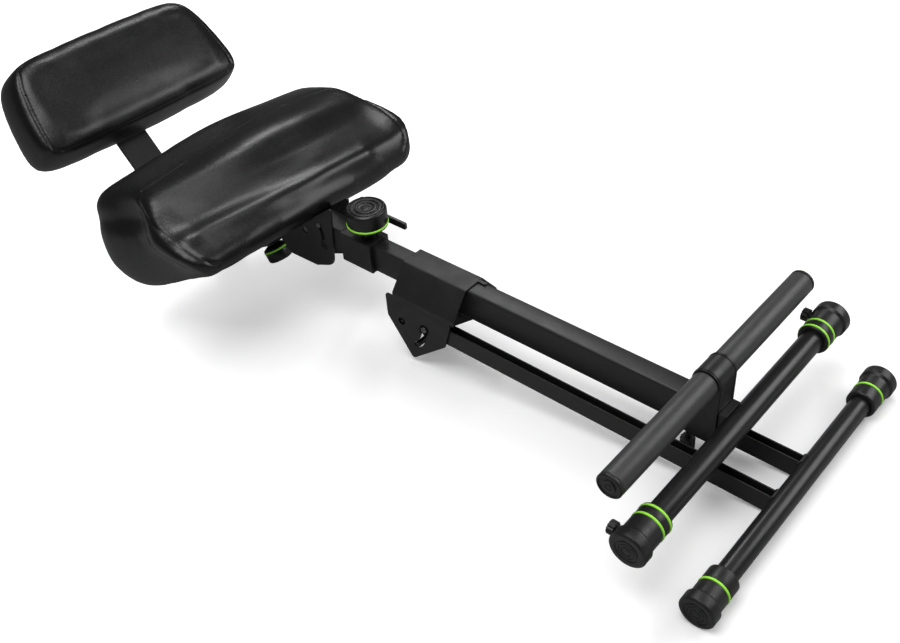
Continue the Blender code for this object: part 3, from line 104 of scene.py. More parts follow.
class StoolSizes(bpy.types.PropertyGroup):
    edge_round: length("Edge round", "Rounding of sheet and tube edges", 0.6 * MM)
    seat_swell: length("Seat swell", "Most that the seat's foam pushes its cover out", 7 * MM)
    back_swell: length("Backrest swell", "Most that the backrest's foam pushes its cover out", 6 * MM)
    stitch_pitch: length("Stitch pitch", "Distance from stitch to stitch", 4.2 * MM)
    seam_width: length("Seam width", "Width of the groove that a seam draws in", 4 * MM)
    seam_depth: length("Seam depth", "Depth of the groove that a seam draws in", 1.8 * MM)
    round_steps: IntProperty(name="Round steps", description="Sides of a turned piece", default=72, min=16)


class StoolColours(bpy.types.PropertyGroup):
    metal: shade("Metal", "Satin powder coat", (0.011, 0.011, 0.0113))
    plastic: shade("Plastic", "Moulded caps and knobs", (0.011, 0.011, 0.0113))
    foam: shade("Foam", "Footrest grips", (0.042, 0.042, 0.043))
    covering: shade("Covering", "Seat and backrest covering", (0.005, 0.005, 0.0052))
    ring: shade("Ring", "Bright rings", (0.36, 0.92, 0.06))
    steel: shade("Steel", "Bolts and pins", (0.24, 0.24, 0.245))
    board: shade("Board", "Boards under the cushions", (0.012, 0.011, 0.0105))
    floor: shade("Floor", "Studio floor", (0.9, 0.9, 0.9))


def sizes():
    return bpy.context.scene.stool_sizes


def colours():
    return bpy.context.scene.stool_colours


# Materials

def add_node(tree, kind, settings=(), inputs=()):
    """A node with its settings, and with each input either linked or set."""
    node = tree.nodes.new(kind)
    for name, value in dict(settings).items():
        setattr(node, name, value)
    for name, value in dict(inputs).items():
        if isinstance(value, bpy.types.NodeSocket):
            tree.links.new(value, node.inputs[name])
        else:
            node.inputs[name].default_value = value
    return node


def noise(tree, vector, scale, detail, roughness=0.5):
    return add_node(tree, "ShaderNodeTexNoise", inputs={"Vector": vector, "Scale": scale, "Detail": detail,
                                                        "Roughness": roughness})


def start_group(name, numbers, results, colour=False):
    """An empty node group: a vector, a colour if asked for, and numbers go in, and the results come out."""
    tree = bpy.data.node_groups.new(name, "ShaderNodeTree")
    tree.interface.new_socket(name="Vector", in_out="INPUT", socket_type="NodeSocketVector")
    if colour:
        tree.interface.new_socket(name="Colour", in_out="INPUT", socket_type="NodeSocketColor")
    for label, default in numbers.items():
        socket = tree.interface.new_socket(name=label, in_out="INPUT", socket_type="NodeSocketFloat")
        socket.default_value = default
    for label in results:
        kind = "NodeSocketColor" if colour else "NodeSocketFloat"
        tree.interface.new_socket(name=label, in_out="OUTPUT", socket_type=kind)
    return tree, tree.nodes.new("NodeGroupInput").outputs, tree.nodes.new("NodeGroupOutput").inputs


def mottle_group():
    """Slow cloudy change between two levels, for roughness and tone."""
    tree, given, result = start_group("mottle", {"Scale": 20.0, "Low": 0.3, "High": 0.4}, ("Value",))
    cloud = noise(tree, given["Vector"], given["Scale"], 4.0, 0.6)
    spread = add_node(tree, "ShaderNodeMapRange", {"interpolation_type": "SMOOTHSTEP"},
                      {"Value": cloud.outputs[0], "From Min": 0.32, "From Max": 0.68,
                       "To Min": given["Low"], "To Max": given["High"]})
    tree.links.new(spread.outputs[0], result["Value"])
    return tree


def grain_group():
    """Pebbled skin: rounded cells with fine creases between them."""
    tree, given, result = start_group("pebbled_grain", {"Cells": 600.0, "Crease": 0.5}, ("Height", "Pit"))
    sway = noise(tree, given["Vector"], 140.0, 2.0)
    shift = add_node(tree, "ShaderNodeVectorMath", {"operation": "MULTIPLY_ADD"},
                     {0: sway.outputs["Color"], 1: (0.003, 0.003, 0.003), 2: given["Vector"]})
    cells = add_node(tree, "ShaderNodeTexVoronoi", {"feature": "DISTANCE_TO_EDGE"},
                     {"Vector": shift.outputs[0], "Scale": given["Cells"]})
    dome = add_node(tree, "ShaderNodeMapRange", {"interpolation_type": "SMOOTHERSTEP"},
                    {"Value": cells.outputs["Distance"], "From Min": 0.0, "From Max": 0.35,
                     "To Min": 0.0, "To Max": 1.0})
    fine = noise(tree, given["Vector"], 2600.0, 2.0)
    both = add_node(tree, "ShaderNodeMath", {"operation": "MULTIPLY_ADD"},
                    {0: fine.outputs[0], 1: given["Crease"], 2: dome.outputs[0]})
    pit = add_node(tree, "ShaderNodeMath", {"operation": "SUBTRACT", "use_clamp": True},
                   {0: 1.0, 1: dome.outputs[0]})
    tree.links.new(both.outputs[0], result["Height"])
    tree.links.new(pit.outputs[0], result["Pit"])
    return tree


def speckle_group():
    """Fine even texture of a powder coat or a moulded face."""
    tree, given, result = start_group("speckle", {"Scale": 1800.0, "Waviness": 0.4}, ("Height",))
    fine = noise(tree, given["Vector"], given["Scale"], 3.0)
    wave = noise(tree, given["Vector"], 220.0, 1.0)
    both = add_node(tree, "ShaderNodeMath", {"operation": "MULTIPLY_ADD"},
                    {0: wave.outputs[0], 1: given["Waviness"], 2: fine.outputs[0]})
    tree.links.new(both.outputs[0], result["Height"])
    return tree


def tone_group():
    """A colour that drifts between a darker and a lighter tone of itself."""
    tree, given, result = start_group("tone_drift", {"Scale": 30.0, "Darker": 0.85, "Lighter": 1.15}, ("Colour",),
                                      colour=True)
    cloud = noise(tree, given["Vector"], given["Scale"], 5.0, 0.65)
    level = add_node(tree, "ShaderNodeMapRange", inputs={"Value": cloud.outputs[0], "From Min": 0.3,
                                                         "From Max": 0.7, "To Min": given["Darker"],
                                                         "To Max": given["Lighter"]})
    mixed = add_node(tree, "ShaderNodeVectorMath", {"operation": "SCALE"},
                     {0: given["Colour"], "Scale": level.outputs[0]})
    tree.links.new(mixed.outputs[0], result["Colour"])
    return tree


GROUPS = {}


def group(name):
    """One shared node group, built the first time it is asked for."""
    makers = {"mottle": mottle_group, "pebbled_grain": grain_group, "speckle": speckle_group,
              "tone_drift": tone_group}
    if name not in GROUPS:
        GROUPS[name] = makers[name]()
    return GROUPS[name]


def place_group(tree, name, inputs):
    return add_node(tree, "ShaderNodeGroup", {"node_tree": group(name)}, inputs)


def start_material(name, settings):
    """A material with its Principled shader's own sockets set, and Object coordinates to paint by."""
    material = bpy.data.materials.new(name)
    material.use_nodes = True
    tree = material.node_tree
    shader = tree.nodes["Principled BSDF"]
    for label, value in settings.items():
        shader.inputs[label].default_value = value
    where = tree.nodes.new("ShaderNodeTexCoord").outputs["Object"]
    return material, tree, shader, where


def drift_colour(tree, shader, where, colour, scale, darker, lighter):
    tone = place_group(tree, "tone_drift", {"Vector": where, "Colour": (*colour, 1), "Scale": scale,
                                            "Darker": darker, "Lighter": lighter})
    tree.links.new(tone.outputs[0], shader.inputs["Base Color"])


def drift_roughness(tree, shader, where, scale, low, high):
    level = place_group(tree, "mottle", {"Vector": where, "Scale": scale, "Low": low, "High": high})
    tree.links.new(level.outputs[0], shader.inputs["Roughness"])


def raise_height(tree, shader, height, strength, distance):
    bump = add_node(tree, "ShaderNodeBump", inputs={"Height": height, "Strength": strength, "Distance": distance})
    tree.links.new(bump.outputs[0], shader.inputs["Normal"])


def speckled(look):
    """A finish from the table below: drifting tone and gloss over a fine even grain."""
    name, tint, settings, tone, gloss, grain, relief = SPECKLED[look]
    material, tree, shader, where = start_material(name, settings)
    drift_colour(tree, shader, where, getattr(colours(), tint), *tone)
    drift_roughness(tree, shader, where, *gloss)
    scale, waviness = grain
    skin = place_group(tree, "speckle", {"Vector": where, "Scale": scale, "Waviness": waviness})
    raise_height(tree, shader, skin.outputs[0], *relief)
    return material


# Each look's material name, colour and shader settings; its tone's drift as scale, darkest and lightest;
# its roughness as scale, low and high; its grain's scale and waviness; and the grain's strength and height
SPECKLED = {
    "metal": ("satin_powder_coat", "metal", {},
              (24.0, 0.93, 1.09), (34.0, 0.4, 0.45), (1500.0, 0.25), (0.1, 0.1 * MM)),
    "gloss": ("smooth_coat", "metal", {},
              (24.0, 0.93, 1.09), (34.0, 0.3, 0.35), (1500.0, 0.25), (0.04, 0.1 * MM)),
    "sheet": ("fine_matt_coat", "metal", {},
              (24.0, 0.93, 1.09), (34.0, 0.42, 0.52), (1500.0, 0.25), (0.4, 0.1 * MM)),
    "plastic": ("moulded_plastic", "plastic", {},
                (40.0, 0.85, 1.2), (60.0, 0.34, 0.46), (2400.0, 0.2), (0.35, 0.1 * MM)),
    "knob": ("dark_moulded_plastic", "covering", {},
             (40.0, 0.85, 1.2), (60.0, 0.28, 0.36), (2400.0, 0.2), (0.35, 0.1 * MM)),
    "ring": ("bright_ring", "ring", {},
             (60.0, 0.94, 1.04), (90.0, 0.34, 0.42), (2000.0, 0.2), (0.2, 0.08 * MM)),
    "steel": ("blackened_steel", "steel", {"Metallic": 1.0},
              (90.0, 0.8, 1.25), (120.0, 0.3, 0.44), (1200.0, 0.3), (0.2, 0.06 * MM)),
    # The gap look is painted shade: a near black, nearly unreflecting finish that stands for the dark recess around the
    # lock plates' fasteners
    "gap": ("painted_recess_shade", "covering", {"Specular IOR Level": 0.05},
            (60.0, 0.3, 0.5), (60.0, 0.8, 0.95), (2000.0, 0.2), (0.2, 0.08 * MM)),
    "thread": ("sewing_thread", "covering", {},
               (400.0, 0.7, 1.5), (200.0, 0.45, 0.6), (3000.0, 0.2), (0.4, 0.15 * MM)),
}


def closed_foam():
    """Closed-cell foam sleeve: softly matt, with small pits."""
    material, tree, shader, where = start_material("closed_foam", {"Specular IOR Level": 0.45})
    drift_colour(tree, shader, where, colours().foam, 50.0, 0.93, 1.07)
    drift_roughness(tree, shader, where, 80.0, 0.36, 0.42)
    cells = place_group(tree, "pebbled_grain", {"Vector": where, "Cells": 1300.0, "Crease": 0.5})
    raise_height(tree, shader, cells.outputs["Height"], 0.2, 0.15 * MM)
    return material


def coated_covering():
    """Black coated upholstery: pebbled grain, duller in its creases, softly glossy on its domes."""
    material, tree, shader, where = start_material("coated_covering", {})
    drift_colour(tree, shader, where, colours().covering, 16.0, 0.85, 1.15)
    cells = place_group(tree, "pebbled_grain", {"Vector": where, "Cells": 640.0, "Crease": 0.35})
    slow = place_group(tree, "mottle", {"Vector": where, "Scale": 18.0, "Low": 0.24, "High": 0.28})
    crease_dulling = 0.08
    rough = add_node(tree, "ShaderNodeMath", {"operation": "MULTIPLY_ADD"},
                     {0: cells.outputs["Pit"], 1: crease_dulling, 2: slow.outputs[0]})
    tree.links.new(rough.outputs[0], shader.inputs["Roughness"])
    raise_height(tree, shader, cells.outputs["Height"], 0.16, 0.2 * MM)
    return material


def painted_board():
    """Dark painted plywood: long grain showing faintly through the paint."""
    material, tree, shader, where = start_material("painted_board", {"Specular IOR Level": 0.4})
    drift_colour(tree, shader, where, colours().board, 20.0, 0.8, 1.3)
    drift_roughness(tree, shader, where, 40.0, 0.55, 0.7)
    stretch = add_node(tree, "ShaderNodeMapping", inputs={"Vector": where, "Scale": (1.0, 0.06, 1.0)})
    grain = place_group(tree, "speckle", {"Vector": stretch.outputs[0], "Scale": 900.0, "Waviness": 1.2})
    raise_height(tree, shader, grain.outputs[0], 0.4, 0.3 * MM)
    return material


MATERIALS = {}


def finish(look):
    """One of the stool's finishes, made the first time it is asked for."""
    makers = {"foam": closed_foam, "covering": coated_covering, "board": painted_board}
    if look not in MATERIALS:
        MATERIALS[look] = makers[look]() if look in makers else speckled(look)
    return MATERIALS[look]


# Making pieces

def body_of(node):
    for body, nodes in frame["record"]["behaviour"]["bodies"].items():
        if node in nodes:
            return body
    raise RuntimeError("no body holds " + node)


def to_object(name, work):
    """An object in the scene with the bmesh as its mesh; the bmesh is freed."""
    mesh = bpy.data.meshes.new(name)
    work.to_mesh(mesh)
    work.free()
    item = bpy.data.objects.new(name, mesh)
    bpy.context.scene.collection.objects.link(item)
    return item


def add_piece(name, work, look, body, replaced=(), sharp=38):
    """Turns a bmesh in world place into a piece that rides on its body."""
    work.normal_update()
    piece = to_object(name, work)
    piece.data.shade_smooth()
    piece.data.set_sharp_from_angle(angle=math.radians(sharp))
    piece.data.materials.append(finish(look))
    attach(piece, body)
    if replaced:
        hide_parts(*replaced)
    return piece


def merged_copy(node):
    """A CAD node's form with its loose triangles joined and its flat faces made whole."""
    work = bmesh.new()
    work.from_mesh(frame["nodes"][node].data)
    bmesh.ops.remove_doubles(work, verts=work.verts, dist=0.005 * MM)
    bmesh.ops.dissolve_limit(work, angle_limit=math.radians(0.4), verts=work.verts, edges=work.edges)
    return work


def dress_node(node, look, edge=None, segments=2):
    """A CAD node's own form with its edges rounded off, in place of the node."""
    piece = add_piece(node + "_finished", merged_copy(node), look, body_of(node), (node,), 30)
    rounding = piece.modifiers.new("Edge round", "BEVEL")
    rounding.width = edge or sizes().edge_round
    rounding.segments = segments
    rounding.limit_method = "ANGLE"
    rounding.angle_limit = math.radians(35)
    rounding.harden_normals = True
    return piece


def turned(name, profile, place, look, body, replaced=(), edge=0.5 * MM, steps=None):
    """A piece turned from a profile of (radius, height) points about its own Z."""
    work = bmesh.new()
    points = [work.verts.new((radius, 0, height)) for radius, height in profile]
    closed = profile[0][0] > 0 or profile[-1][0] > 0
    edges = [work.edges.new(pair) for pair in zip(points, points[1:])]
    if closed:
        edges.append(work.edges.new((points[-1], points[0])))
    bmesh.ops.spin(work, geom=points + edges, cent=(0, 0, 0), axis=(0, 0, 1), angle=2 * math.pi,
                   steps=steps or sizes().round_steps, use_merge=True)
    bmesh.ops.remove_doubles(work, verts=work.verts, dist=0.01 * MM)
    bmesh.ops.recalc_face_normals(work, faces=work.faces)
    if edge:
        corners = [item for item in work.edges
                   if item.is_manifold and item.calc_face_angle(0) > math.radians(28)]
        bmesh.ops.bevel(work, geom=corners, offset=edge, offset_type="OFFSET", segments=3, profile=0.5,
                        affect="EDGES", clamp_overlap=True, material=-1)
    work.transform(place)
    return add_piece(name, work, look, body, replaced)


def bead_of_weld(name, points, radius, body):
    """A row of overlapping weld ripples along a line."""
    work = bmesh.new()
    for start, end in zip(points, points[1:]):
        run = end - start
        count = max(2, round(run.length / (radius * 0.9)))
        turn = run.to_track_quat("X", "Z").to_matrix().to_4x4()
        for step in range(count + 1):
            place = Matrix.Translation(start + run * (step / count)) @ turn @ Matrix.Diagonal((0.8, 1, 1, 1))
            bmesh.ops.create_icosphere(work, subdivisions=2, radius=radius, matrix=place)
    return add_piece(name, work, "metal", body, sharp=60)


# Stage

# Each lamp's place, the point it aims at, its two sides in metres and its power in watts
LAMPS = {
    "lamp_key": ((-0.67, 1.11, 2.15), (-0.25, 0.0, 0.2), (0.3, 1.3), 14),
    "lamp_back": ((-2.65, 2.75, 3.3), (0.1, 0.0, 0.1), (2.0, 2.0), 3),
    "lamp_foot": ((1.85, 1.6, 1.5), (0.3, 0.0, 0.15), (1.6, 1.3), 22),
    "lamp_side": ((1.05, 1.86, 1.22), (-0.1, 0.1, 0.15), (0.45, 0.5), 3),
    "lamp_top": ((0.35, -0.6, 2.6), (0.1, 0.0, 0.0), (1.7, 1.7), 38),
}
AIR_LIGHT = 0.4
AIR_IN_REFLECTIONS = 0.08

# The floor's grey for every ray but the camera's, and the glow that lifts it to white away from the feet
FLOOR_GREY = (0.32, 0.32, 0.32, 1)
FEET_SPOT = (0.35, 0.0, 0.0)
GLOW_STARTS, GLOW_ENDS = 0.3, 0.95
GLOW_NEAR, GLOW_FAR = 0.15, 0.75

# The camera's axes and its place in the main tube's frame, worked out from the photograph's straight edges
CAMERA_RIGHT = Vector((0.7588319, 0.64823477, -0.0643608))
CAMERA_DOWN = Vector((0.38150839, -0.52219976, -0.7627668))
CAMERA_FORWARD = Vector((-0.52805605, 0.55409822, -0.64355162))
CAMERA_SPOT = Vector((304.57, -884.16, 1009.58)) * MM
CAMERA_LENS = 44.35
FILM_WIDTH = 36


class STOOL_OT_stage(bpy.types.Operator):
    """Pale floor, soft studio lamps and the camera at the photograph's angle"""
    bl_idname = "stool.stage"
    bl_label = "Stage"

    def execute(self, context):
        self.lay_floor()
        self.light()
        self.aim_camera(context)
        context.scene.view_settings.view_transform = "Standard"
        return {"FINISHED"}

    def lay_floor(self):
        work = bmesh.new()
        bmesh.ops.create_grid(work, x_segments=8, y_segments=8, size=9)
        floor = to_object("studio_floor", work)
        floor.data.materials.append(self.floor_material())

    def floor_material(self):
        """Pale to the camera and white away from the feet, but grey to the stool so that its blacks stay deep."""
        material, tree, shader, where = start_material("studio_floor", {"Roughness": 0.9,
                                                                        "Specular IOR Level": 0.0,
                                                                        "Emission Color": (1, 1, 1, 1)})
        tone = place_group(tree, "tone_drift", {"Vector": where, "Colour": (*colours().floor, 1), "Scale": 3.0,
                                                "Darker": 0.995, "Lighter": 1.005})
        path = tree.nodes.new("ShaderNodeLightPath")
        colour_a, colour_b, mixed_colour = 6, 7, 2
        seen = add_node(tree, "ShaderNodeMix", {"data_type": "RGBA"},
                        {"Factor": path.outputs["Is Camera Ray"], colour_a: FLOOR_GREY, colour_b: tone.outputs[0]})
        tree.links.new(seen.outputs[mixed_colour], shader.inputs["Base Color"])
        feet = add_node(tree, "ShaderNodeVectorMath", {"operation": "SUBTRACT"}, {0: where, 1: FEET_SPOT})
        away = add_node(tree, "ShaderNodeVectorMath", {"operation": "LENGTH"}, {0: feet.outputs[0]})
        fade = add_node(tree, "ShaderNodeMapRange", {"interpolation_type": "SMOOTHSTEP"},
                        {"Value": away.outputs["Value"], "From Min": GLOW_STARTS, "From Max": GLOW_ENDS,
                         "To Min": GLOW_NEAR, "To Max": GLOW_FAR})
        lift = add_node(tree, "ShaderNodeMath", {"operation": "MULTIPLY"},
                        {0: path.outputs["Is Camera Ray"], 1: fade.outputs[0]})
        tree.links.new(lift.outputs[0], shader.inputs["Emission Strength"])
        return material

    def light(self):
        """White to the camera, dimmer to the stool and nearly dark in its reflections, with five soft lamps."""
        world = bpy.data.worlds.new("studio_air")
        world.use_nodes = True
        tree = world.node_tree
        ground = tree.nodes["Background"]
        ground.inputs["Color"].default_value = (1, 1, 1, 1)
        path = tree.nodes.new("ShaderNodeLightPath")
        dim = add_node(tree, "ShaderNodeMapRange", inputs={"Value": path.outputs["Is Glossy Ray"],
                                                           "To Min": AIR_LIGHT, "To Max": AIR_IN_REFLECTIONS})
        level = add_node(tree, "ShaderNodeMath", {"operation": "MAXIMUM"},
                         {0: path.outputs["Is Camera Ray"], 1: dim.outputs[0]})
        tree.links.new(level.outputs[0], ground.inputs["Strength"])
        bpy.context.scene.world = world
        for name, (spot, aim, size, power) in LAMPS.items():
            data = bpy.data.lights.new(name, "AREA")
            data.shape = "RECTANGLE"
            data.size, data.size_y = size
            data.energy = power
            lamp = bpy.data.objects.new(name, data)
            bpy.context.scene.collection.objects.link(lamp)
            turn = (Vector(aim) - Vector(spot)).to_track_quat("-Z", "Y").to_matrix().to_4x4()
            lamp.matrix_world = Matrix.Translation(spot) @ turn

    def aim_camera(self, context):
        place = Matrix.Identity(4)
        for column, axis in enumerate((CAMERA_RIGHT, -CAMERA_DOWN, -CAMERA_FORWARD)):
            for row in range(3):
                place[row][column] = axis[row]
        place.translation = CAMERA_SPOT
        data = bpy.data.cameras.new("camera")
        data.lens = CAMERA_LENS
        data.sensor_width = FILM_WIDTH
        data.clip_start = 0.05
        camera = bpy.data.objects.new("camera", data)
        context.scene.collection.objects.link(camera)
        camera.matrix_world = TUBE @ place
        context.scene.camera = camera


# Tubes and sheet metal

class STOOL_OT_tubes(bpy.types.Operator):
    """Satin coat and rounded edges on the tubes, rails and sleeve"""
    bl_idname = "stool.tubes"
    bl_label = "Tubes"

    def execute(self, context):
        for node in ("main_tube", "inner_tube", "rear_rail_near", "rear_rail_far", "head_sleeve", "head_tongue"):
            dress_node(node, "metal")
        dress_node("front_socket", "plastic")
        return {"FINISHED"}


# Spots on the lock plates in the main tube's frame, and the plates' outer face from the middle
PLATE_PIVOT = (-591 * MM, 0, -12.4 * MM)
PLATE_SCREW = (-547.2 * MM, 0, -6.8 * MM)
PLATE_FACE = 44.5 * MM


# A washer-shaped ring that carries painted shade: it stands for the shaded recess around a fastener on a lock plate
def shade_washer_profile(bore):
    return [(bore, PLATE_FACE), (bore, PLATE_FACE + 0.4 * MM), (bore + 0.6 * MM, PLATE_FACE + 1 * MM),
            (bore + 1.9 * MM, PLATE_FACE + 1 * MM), (bore + 2.4 * MM, PLATE_FACE)]


class STOOL_OT_hinge(bpy.types.Operator):
    """The folding hinge's cover, plates, bolts, screws and lock pin"""
    bl_idname = "stool.hinge"
    bl_label = "Hinge"

    def execute(self, context):
        for node in ("hinge_cover", "hinge_cheek_near", "hinge_cheek_far", "leg_plate_near", "leg_plate_far"):
            dress_node(node, "sheet", 0.5 * MM)
        dress_node("leg_pivot_bolt", "steel", 0.7 * MM)
        dress_node("leg_lock_pin", "metal", 0.7 * MM)
        for node in ("leg_bush_near", "leg_bush_far"):
            dress_node(node, "plastic", 0.4 * MM)
        head = [(0, PLATE_FACE + 1.3 * MM), (2.1 * MM, PLATE_FACE + 1.3 * MM), (2.4 * MM, PLATE_FACE + 2.9 * MM),
                (3.8 * MM, PLATE_FACE + 2.7 * MM), (5.0 * MM, PLATE_FACE + 1.5 * MM), (5.1 * MM, PLATE_FACE),
                (0, PLATE_FACE)]
        # The rings around the pivot and the screw carry painted shade: dark matt rings standing for the shaded recess
        # around each fastener
        for side, turn in TURNS:
            for name, spot, bore in (("leg_pivot_shade_washer_", PLATE_PIVOT, 3.6 * MM),
                                     ("leg_screw_shade_washer_", PLATE_SCREW, 5.3 * MM)):
                turned(name + side, shade_washer_profile(bore), TUBE @ Matrix.Translation(spot) @ turn, "gap", "rear_leg",
                       edge=0.2 * MM, steps=48)
            turned("leg_plate_screw_" + side, head, TUBE @ Matrix.Translation(PLATE_SCREW) @ turn, "steel",
                   "rear_leg", edge=0.2 * MM, steps=32)
        return {"FINISHED"}


class STOOL_OT_bracket(bpy.types.Operator):
    """The seat's slotted bracket, mount, channel and their fasteners"""
    bl_idname = "stool.bracket"
    bl_label = "Seat bracket"

    def execute(self, context):
        for node in ("seat_plate_near", "seat_plate_far", "seat_mount", "bar_channel"):
            dress_node(node, "sheet", 0.5 * MM)
        for node in ("seat_pivot_bolt", "seat_lock_pin", "mount_bolt_rear_near", "mount_bolt_rear_far",
                     "mount_bolt_front_near", "mount_bolt_front_far"):
            dress_node(node, "steel", 0.6 * MM)
        dress_node("release_lever", "metal", 1.2 * MM, 3)
        return {"FINISHED"}


# Feet

# Each crossbar's label, radius, half length and its rings' insets from the bar's end; then the rings' half width
# and the half width and depth of the grooves they lie in
CROSSBARS = (("front", 15 * MM, 236 * MM, (51 * MM, 37 * MM)), ("rear", 13.5 * MM, 222 * MM, (33 * MM,)))
RING_HALF = 1.6 * MM
GROOVE_HALF = 1.9 * MM
GROOVE_DEPTH = 1.3 * MM
# The path of a rear rail's weld on the crossbar in millimetres: back, across and up, for the far side
WELD_LINE = ((-13.6, 42.3, -5), (-12.4, 42.3, 6.6), (-10.6, 40.8, 9.6), (-10.6, 28.2, 9.6), (-12.4, 26.7, 6.6),
             (-13.6, 26.7, -5))


def bar_profile(radius, half, wall):
    return [(radius, half), (radius, -half), (radius - wall, -half), (radius - wall, half)]


def ring_profile(inner, body, spot):
    """A ring let into a groove, standing a little proud of the body around it."""
    low, high = spot - RING_HALF, spot + RING_HALF
    proud = 0.7 * MM
    return [(inner, high), (body, high), (body + proud, high - proud), (body + proud, low + proud), (body, low),
            (inner, low)]


def groove(inner, outer, level, depth):
    """Four points of a round groove in a turned face, or of a raised band where the depth is negative."""
    return [(inner, level), (inner, level - depth), (outer, level - depth), (outer, level)]


def cap_profile(radius, half, insets):
    """A crossbar's end cap with its stepped disc, flared rim and ring grooves."""
    bore = radius + 0.3 * MM
    body = bore + 5.4 * MM
    rim = body + 3 * MM
    floor = half + 0.3 * MM
    end = floor + 4 * MM
    mouth = end - 60 * MM
    points = [(0, end + 0.6 * MM), (2.4 * MM, end + 0.6 * MM), (3 * MM, end)]
    for inner, outer, depth in ((5.2 * MM, 6.6 * MM, 0.9 * MM), (9.4 * MM, 10.8 * MM, 0.9 * MM),
                                (13.1 * MM, 15.5 * MM, 1.1 * MM)):
        points += groove(inner, outer, end, depth)
    points += [(rim - 2 * MM, end), (rim, end - 2 * MM), (rim, end - 15 * MM), (body, end - 18 * MM)]
    for inset in sorted(insets):
        spot = half - inset
        points += [(body, spot + GROOVE_HALF), (body - GROOVE_DEPTH, spot + GROOVE_HALF),
                   (body - GROOVE_DEPTH, spot - GROOVE_HALF), (body, spot - GROOVE_HALF)]
    return points + [(body, mouth + 1.6 * MM), (body - 1.6 * MM, mouth), (bore, mouth), (bore, floor), (0, floor)]


class STOOL_OT_feet(bpy.types.Operator):
    """Crossbars, their end caps, bright rings and levelling screws"""
    bl_idname = "stool.feet"
    bl_label = "Feet"

    def execute(self, context):
        for label, radius, half, insets in CROSSBARS:
            node = label + "_crossbar"
            body = body_of(node)
            middle = Matrix.Translation(middle_of(node))
            turned(node + "_finished", bar_profile(radius, half, 1.8 * MM), middle @ ALONG_Y, "gloss", body, (node,))
            for side, turn in TURNS:
                cap = "%s_cap_%s" % (label, side)
                turned(cap + "_finished", cap_profile(radius, half, insets), middle @ turn, "plastic", body, (cap,),
                       0.45 * MM)
                skin = radius + 5.7 * MM
                for number, inset in enumerate(insets, 1):
                    ring = "%s_ring_%s_%d" % (label, side, number)
                    turned(ring + "_finished", ring_profile(skin - 1 * MM, skin, half - inset), middle @ turn, "ring",
                           body, (ring,), 0.3 * MM)
        for side, sign in SIDES:
            dress_node("cap_screw_" + side, "plastic", 0.8 * MM, 3)
            line = [TUBE @ (Vector((x, sign * y, z)) * MM) for x, y, z in WELD_LINE]
            bead_of_weld("rear_weld_" + side, line, 1.9 * MM, "rear_leg")
        return {"FINISHED"}


# Footrest

# The collar's rims: how much larger and thinner than the collar they are, and how far out they lie
RIM_GROWTH = 1.016
RIM_THINNING = 0.05
RIM_REACH = 16.4 * MM


class STOOL_OT_footrest(bpy.types.Operator):
    """Footrest bar with foam grips, end plugs, collar and clamp knob"""
    bl_idname = "stool.footrest"
    bl_label = "Footrest"

    def execute(self, context):
        middle = Matrix.Translation(middle_of("footrest_bar"))
        half, radius, core = 217.7 * MM, 16.7 * MM, 11 * MM
        start, end = 19.8 * MM, half - 4.8 * MM
        turned("footrest_bar_finished", bar_profile(core, end, 1.5 * MM), middle @ ALONG_Y, "metal", "footrest",
               ("footrest_bar",))
        for side, turn in TURNS:
            grip = [(radius - 1.2 * MM, start), (radius, start + 1.4 * MM), (radius + 0.15 * MM, (start + end) / 2),
                    (radius, end - 1.4 * MM), (radius - 1.2 * MM, end), (core + 0.3 * MM, end),
                    (core + 0.3 * MM, start)]
            turned("footrest_grip_%s_finished" % side, grip, middle @ turn, "foam", "footrest",
                   ("footrest_grip_" + side,), 0.8 * MM)
            low, high = half - 4.5 * MM, half
            plug = [(0, high), *groove(3 * MM, 4.4 * MM, high, 0.8 * MM), *groove(8.35 * MM, 13.7 * MM, high, 1.5 * MM),
                    (15.2 * MM, high), (radius, high - 1.5 * MM), (radius, low), (9.2 * MM, low),
                    (9.2 * MM, low - 13.5 * MM), (0, low - 13.5 * MM)]
            turned("footrest_plug_%s_finished" % side, plug, middle @ turn, "plastic", "footrest",
                   ("footrest_plug_" + side,), 0.35 * MM)
        dress_node("footrest_collar", "plastic", 0.9 * MM, 3)
        heart = middle_of("footrest_collar")
        for side, sign in SIDES:
            work = merged_copy("footrest_collar")
            for vertex in work.verts:
                away = vertex.co - heart
                vertex.co = heart + Vector((away.x * RIM_GROWTH, away.y * RIM_THINNING + sign * RIM_REACH,
                                            away.z * RIM_GROWTH))
            add_piece("collar_rim_" + side, work, "plastic", "footrest", sharp=30)
        dress_node("footrest_knob", "knob", 1.0 * MM, 3)
        return {"FINISHED"}


# Hand knobs

def knob_profile(radius, top, neck, foot, height, ring, skirt):
    """A round hand knob: dished top with a raised disc, straight grip, ring groove and bevelled skirt."""
    step = 1.6 * MM
    dish, low = top - step, height - step
    return [(0, low + 0.6 * MM), (dish * 0.2, low + 0.6 * MM), (dish * 0.24, low),
            *groove(dish * 0.5, dish * 0.68, low, -step), *groove(dish * 0.78, dish, low, -step),
            (top, low), (top, height), (top + step, height), (radius - 0.8 * MM, height - 1.2 * step),
            (radius, height - 2 * step - 1 * MM), (radius, ring + GROOVE_HALF),
            (radius - GROOVE_DEPTH, ring + GROOVE_HALF), (radius - GROOVE_DEPTH, ring - GROOVE_HALF),
            (radius, ring - GROOVE_HALF), (radius, ring - GROOVE_HALF - step),
            (neck, ring - skirt), (foot, ring - skirt - step), (foot, 0.3 * MM), (0, 0.3 * MM)]


